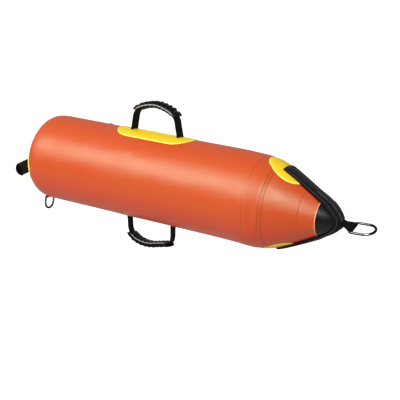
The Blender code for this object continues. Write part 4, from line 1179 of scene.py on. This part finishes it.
def ring_points(width, length, wire):
    """A D in its XY plane: a straight bar on the Y axis, and a round far end."""
    half = (width - wire) / 2
    straight = length - wire / 2 - half
    half_turn = np.linspace(-math.pi / 2, math.pi / 2, 60)
    bow = [(straight + half * math.cos(a), half * math.sin(a)) for a in half_turn]
    turns = [(1 - math.sin(a), 1 - math.cos(a)) for a in np.linspace(0, math.pi / 2, 12)]
    corner = [(BAR_CORNER * x, half - BAR_CORNER * y) for x, y in turns]
    return np.array([(x, y, 0.0) for x, y in bow + corner + [(x, -y) for x, y in reversed(corner)]])


def make_ring(body, size, place):
    """A ring of bent wire. Its body, its node and the start of its name are the same."""
    points = placed(place, ring_points(**size))
    edges = [(i, (i + 1) % len(points)) for i in range(len(points))]
    made = grown(body + "_wire", WIRE_TREE, points, edges, STEEL, Radius=size["wire"] / 2)
    return stand_in(made, body, "ring_steel", body)


def joint_place(name):
    return Vector(next(joint["pos_m"] for joint in frame["joints"] if joint["name"] == name))


tow_bar = Matrix.Translation(joint_place("tow_ring_swing")) @ Matrix.Rotation(TOW_ROLL, 4, "X")
keel_bar = Matrix.Translation(joint_place("keel_ring_swing"))
make_ring("tow_ring", TOW_RING, tow_bar @ Matrix.Rotation(-TOW_RING_RISE, 4, "Y"))
make_ring("keel_ring", KEEL_RING, keel_bar @ Matrix.Rotation(math.pi / 2, 4, "Y"))

# %% [markdown]
# The tow loop is coarse webbing folded round the ring's bar and sewn down between the layers of the nose
# strap. It leaves the nose narrow and rolled, and twists flatter and wider towards the ring. The loft goes
# out along the top, round the bar and back along the underside, so the fold is real.

# %% Tow loop
LOOP_WIDTH = 0.029
LOOP_WEBBING = 0.0018
ROOM_ROUND_BAR = 0.0003
LOOP_REACH = 0.018
LOOP_SUNK = 0.006
LOOP_ROOT_RADIUS = 0.0011
LOOP_ROOT_WIDTH = 0.0165
LOOP_BAR_WIDTH = 0.0268
LOOP_ROOT_TWIST = math.radians(14)
LOOP_BAR_TWIST = math.radians(3)


def loop_line(bar_radius, root_radius, reach, sink):
    """The fold's side view (ahead, out): out along the top, round the bar and back below."""
    top = [(reach * t, root_radius + (bar_radius - root_radius) * t**1.5) for t in np.linspace(0.0, 0.92, 16)]
    turn = [(reach + bar_radius * math.sin(a), bar_radius * math.cos(a)) for a in np.linspace(0, math.pi, 22)]
    back = [(x, -z) for x, z in reversed(top)]
    return np.array([(-sink, root_radius)] + top + turn + back + [(-sink, -root_radius)])


def make_tow_loop():
    """Webbing that is narrow and rolled at its root, and flatter and wider where it holds the ring."""
    bar_radius = TOW_RING["wire"] / 2 + ROOM_ROUND_BAR + LOOP_WEBBING / 2
    line = loop_line(bar_radius, LOOP_ROOT_RADIUS, LOOP_REACH, LOOP_SUNK)
    share = np.clip(line[:, 0] / LOOP_REACH, 0, 1)
    width = LOOP_ROOT_WIDTH + (LOOP_BAR_WIDTH - LOOP_ROOT_WIDTH) * eased(share)
    twist = LOOP_ROOT_TWIST + (LOOP_BAR_TWIST - LOOP_ROOT_TWIST) * share
    rings = []
    for here, way, w, r in zip(line, directions(line), width, twist):
        across, out = flat_section(w, LOOP_WEBBING).T
        x, z = here[0] - way[1] * out, here[1] + way[0] * out
        c, s = math.cos(r), math.sin(r)
        rings.append(np.stack([x, across * c - z * s, across * s + z * c], -1))
    root = joint_place("tow_loop_bend")
    turn = Matrix.Rotation(TOW_ROLL, 4, "X") @ Matrix.Rotation(TOW_PITCH, 4, "Y")
    flat = grid_flat(run_along(line), flat_section(LOOP_WIDTH, LOOP_WEBBING)[:, 0])
    made = loft("tow_loop_webbing", placed(Matrix.Translation(root) @ turn, rings), HANDLE_WEBBING, flat)
    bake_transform(made)
    return finished(made, "black_webbing", "tow_loop")


make_tow_loop()

# %% [markdown]
# Thread holds the strap and the loop. Geometry Nodes lay the stitches: a line on the fabric becomes a curve,
# the curve is cut into even steps, and a small spindle of thread lies along the curve at each step. Stitches
# are 3.5 mm long, one every 4.6 mm, like those of a heavy sewing machine.

# %% Stitches
STITCH = {"Spacing": 0.0046, "Length": 0.0035, "Thickness": 0.0009}
THREAD_LIFT = 0.00015
# where each pair of rows runs beside the strap's middle, and from what share of the strap to what share
LONG_ROWS = ((STITCHES_OUT, 0.02, 0.98), (0.0120, 0.16, 0.44), (0.0096, 0.16, 0.44))
# where each row across the strap runs, half its length, and 1 above or -1 below
CROSS_ROWS = (
    (STRAP_END + 0.005, 0.022, 1),
    (STRAP_END + 0.005, 0.022, -1),
    (SECOND_LAYER_START + 0.004, 0.0145, 1),
)


def stitch_tree():
    tree, given = new_tree("stitch_row", STITCH)
    line = add(tree, "GeometryNodeMeshToCurve", {"Mesh": given["Geometry"]})
    steps = add(tree, "GeometryNodeResampleCurve", {"Curve": line.outputs[0], "Length": given["Spacing"]},
                mode="LENGTH")
    ball = add(tree, "GeometryNodeMeshUVSphere", {"Segments": 6, "Rings": 5, "Radius": 0.5})
    thick = given["Thickness"]
    size = add(tree, "ShaderNodeCombineXYZ", {"X": given["Length"], "Y": thick, "Z": thick})
    spindle = add(tree, "GeometryNodeTransform", {"Geometry": ball.outputs[0], "Scale": size.outputs[0]})
    heading = add(tree, "GeometryNodeInputTangent").outputs[0]
    turn = add(tree, "FunctionNodeAlignRotationToVector", {"Vector": heading}, axis="X")
    given_row = {"Points": steps.outputs[0], "Instance": spindle.outputs[0], "Rotation": turn.outputs[0]}
    rows = add(tree, "GeometryNodeInstanceOnPoints", given_row)
    return end_tree(tree, rows.outputs[0], given)


def stitches(name, lines):
    """Rows of stitches along several lines of points, as one plain mesh."""
    points, edges = [], []
    for line in lines:
        edges += [(len(points) + i, len(points) + i + 1) for i in range(len(line) - 1)]
        points += list(line)
    return grown(name, stitch_tree(), points, edges, THREAD_PAINTED_HIGHLIGHT)


def strap_row(across, first, last):
    """A line just over the nose strap at a distance from its middle."""
    arc, angle, share = strap_line(across, STRAP_FACE)
    lift = STRAP_FACE + strap_height(across, arc, share) + THREAD_LIFT
    return on_skin(arc, angle, lift)[(share >= 2 * first - 1) & (share <= 2 * last - 1)]


def strap_cross(arc, half, side):
    """A line across the nose strap at one distance along the skin."""
    across = np.linspace(-half, half, 24) - STRAP_SHIFT + STRAP_LEAN * side
    angle = np.arcsin(across / (skin_radius(arc) + STRAP_FACE))
    return on_skin(arc, angle if side > 0 else math.pi - angle, STRAP_FACE + 2 * THREAD_LIFT)


rows = [strap_row(side * across, first, last) for across, first, last in LONG_ROWS for side in (-1, 1)]
rows += [strap_cross(*row) for row in CROSS_ROWS]
stand_in(stitches("nose_strap_stitching", rows), "hull", "black_webbing")

# %% [markdown]
# The fittings that the photograph doesn't show are small turned mouldings: the inflation valve on the far
# side, and the tab and patch that hold the keel ring. They keep their solids' shapes and get finishes of
# their own.

# %% Finishes for the solids that stay
STAYING = (
    (ORANGE, ("keel_patch", "keel_tab")),
    (VALVE_PLASTIC, ("valve_base", "valve_insert", "valve_cap", "cap_tether")),
    (SEAL_RUBBER, ("valve_diaphragm", "valve_seal")),
)
for used, nodes in STAYING:
    for node in nodes:
        materials = frame["nodes"][node].data.materials
        for index in range(len(materials)):
            materials[index] = used
print("finishes for solids that stay", len(STAYING))
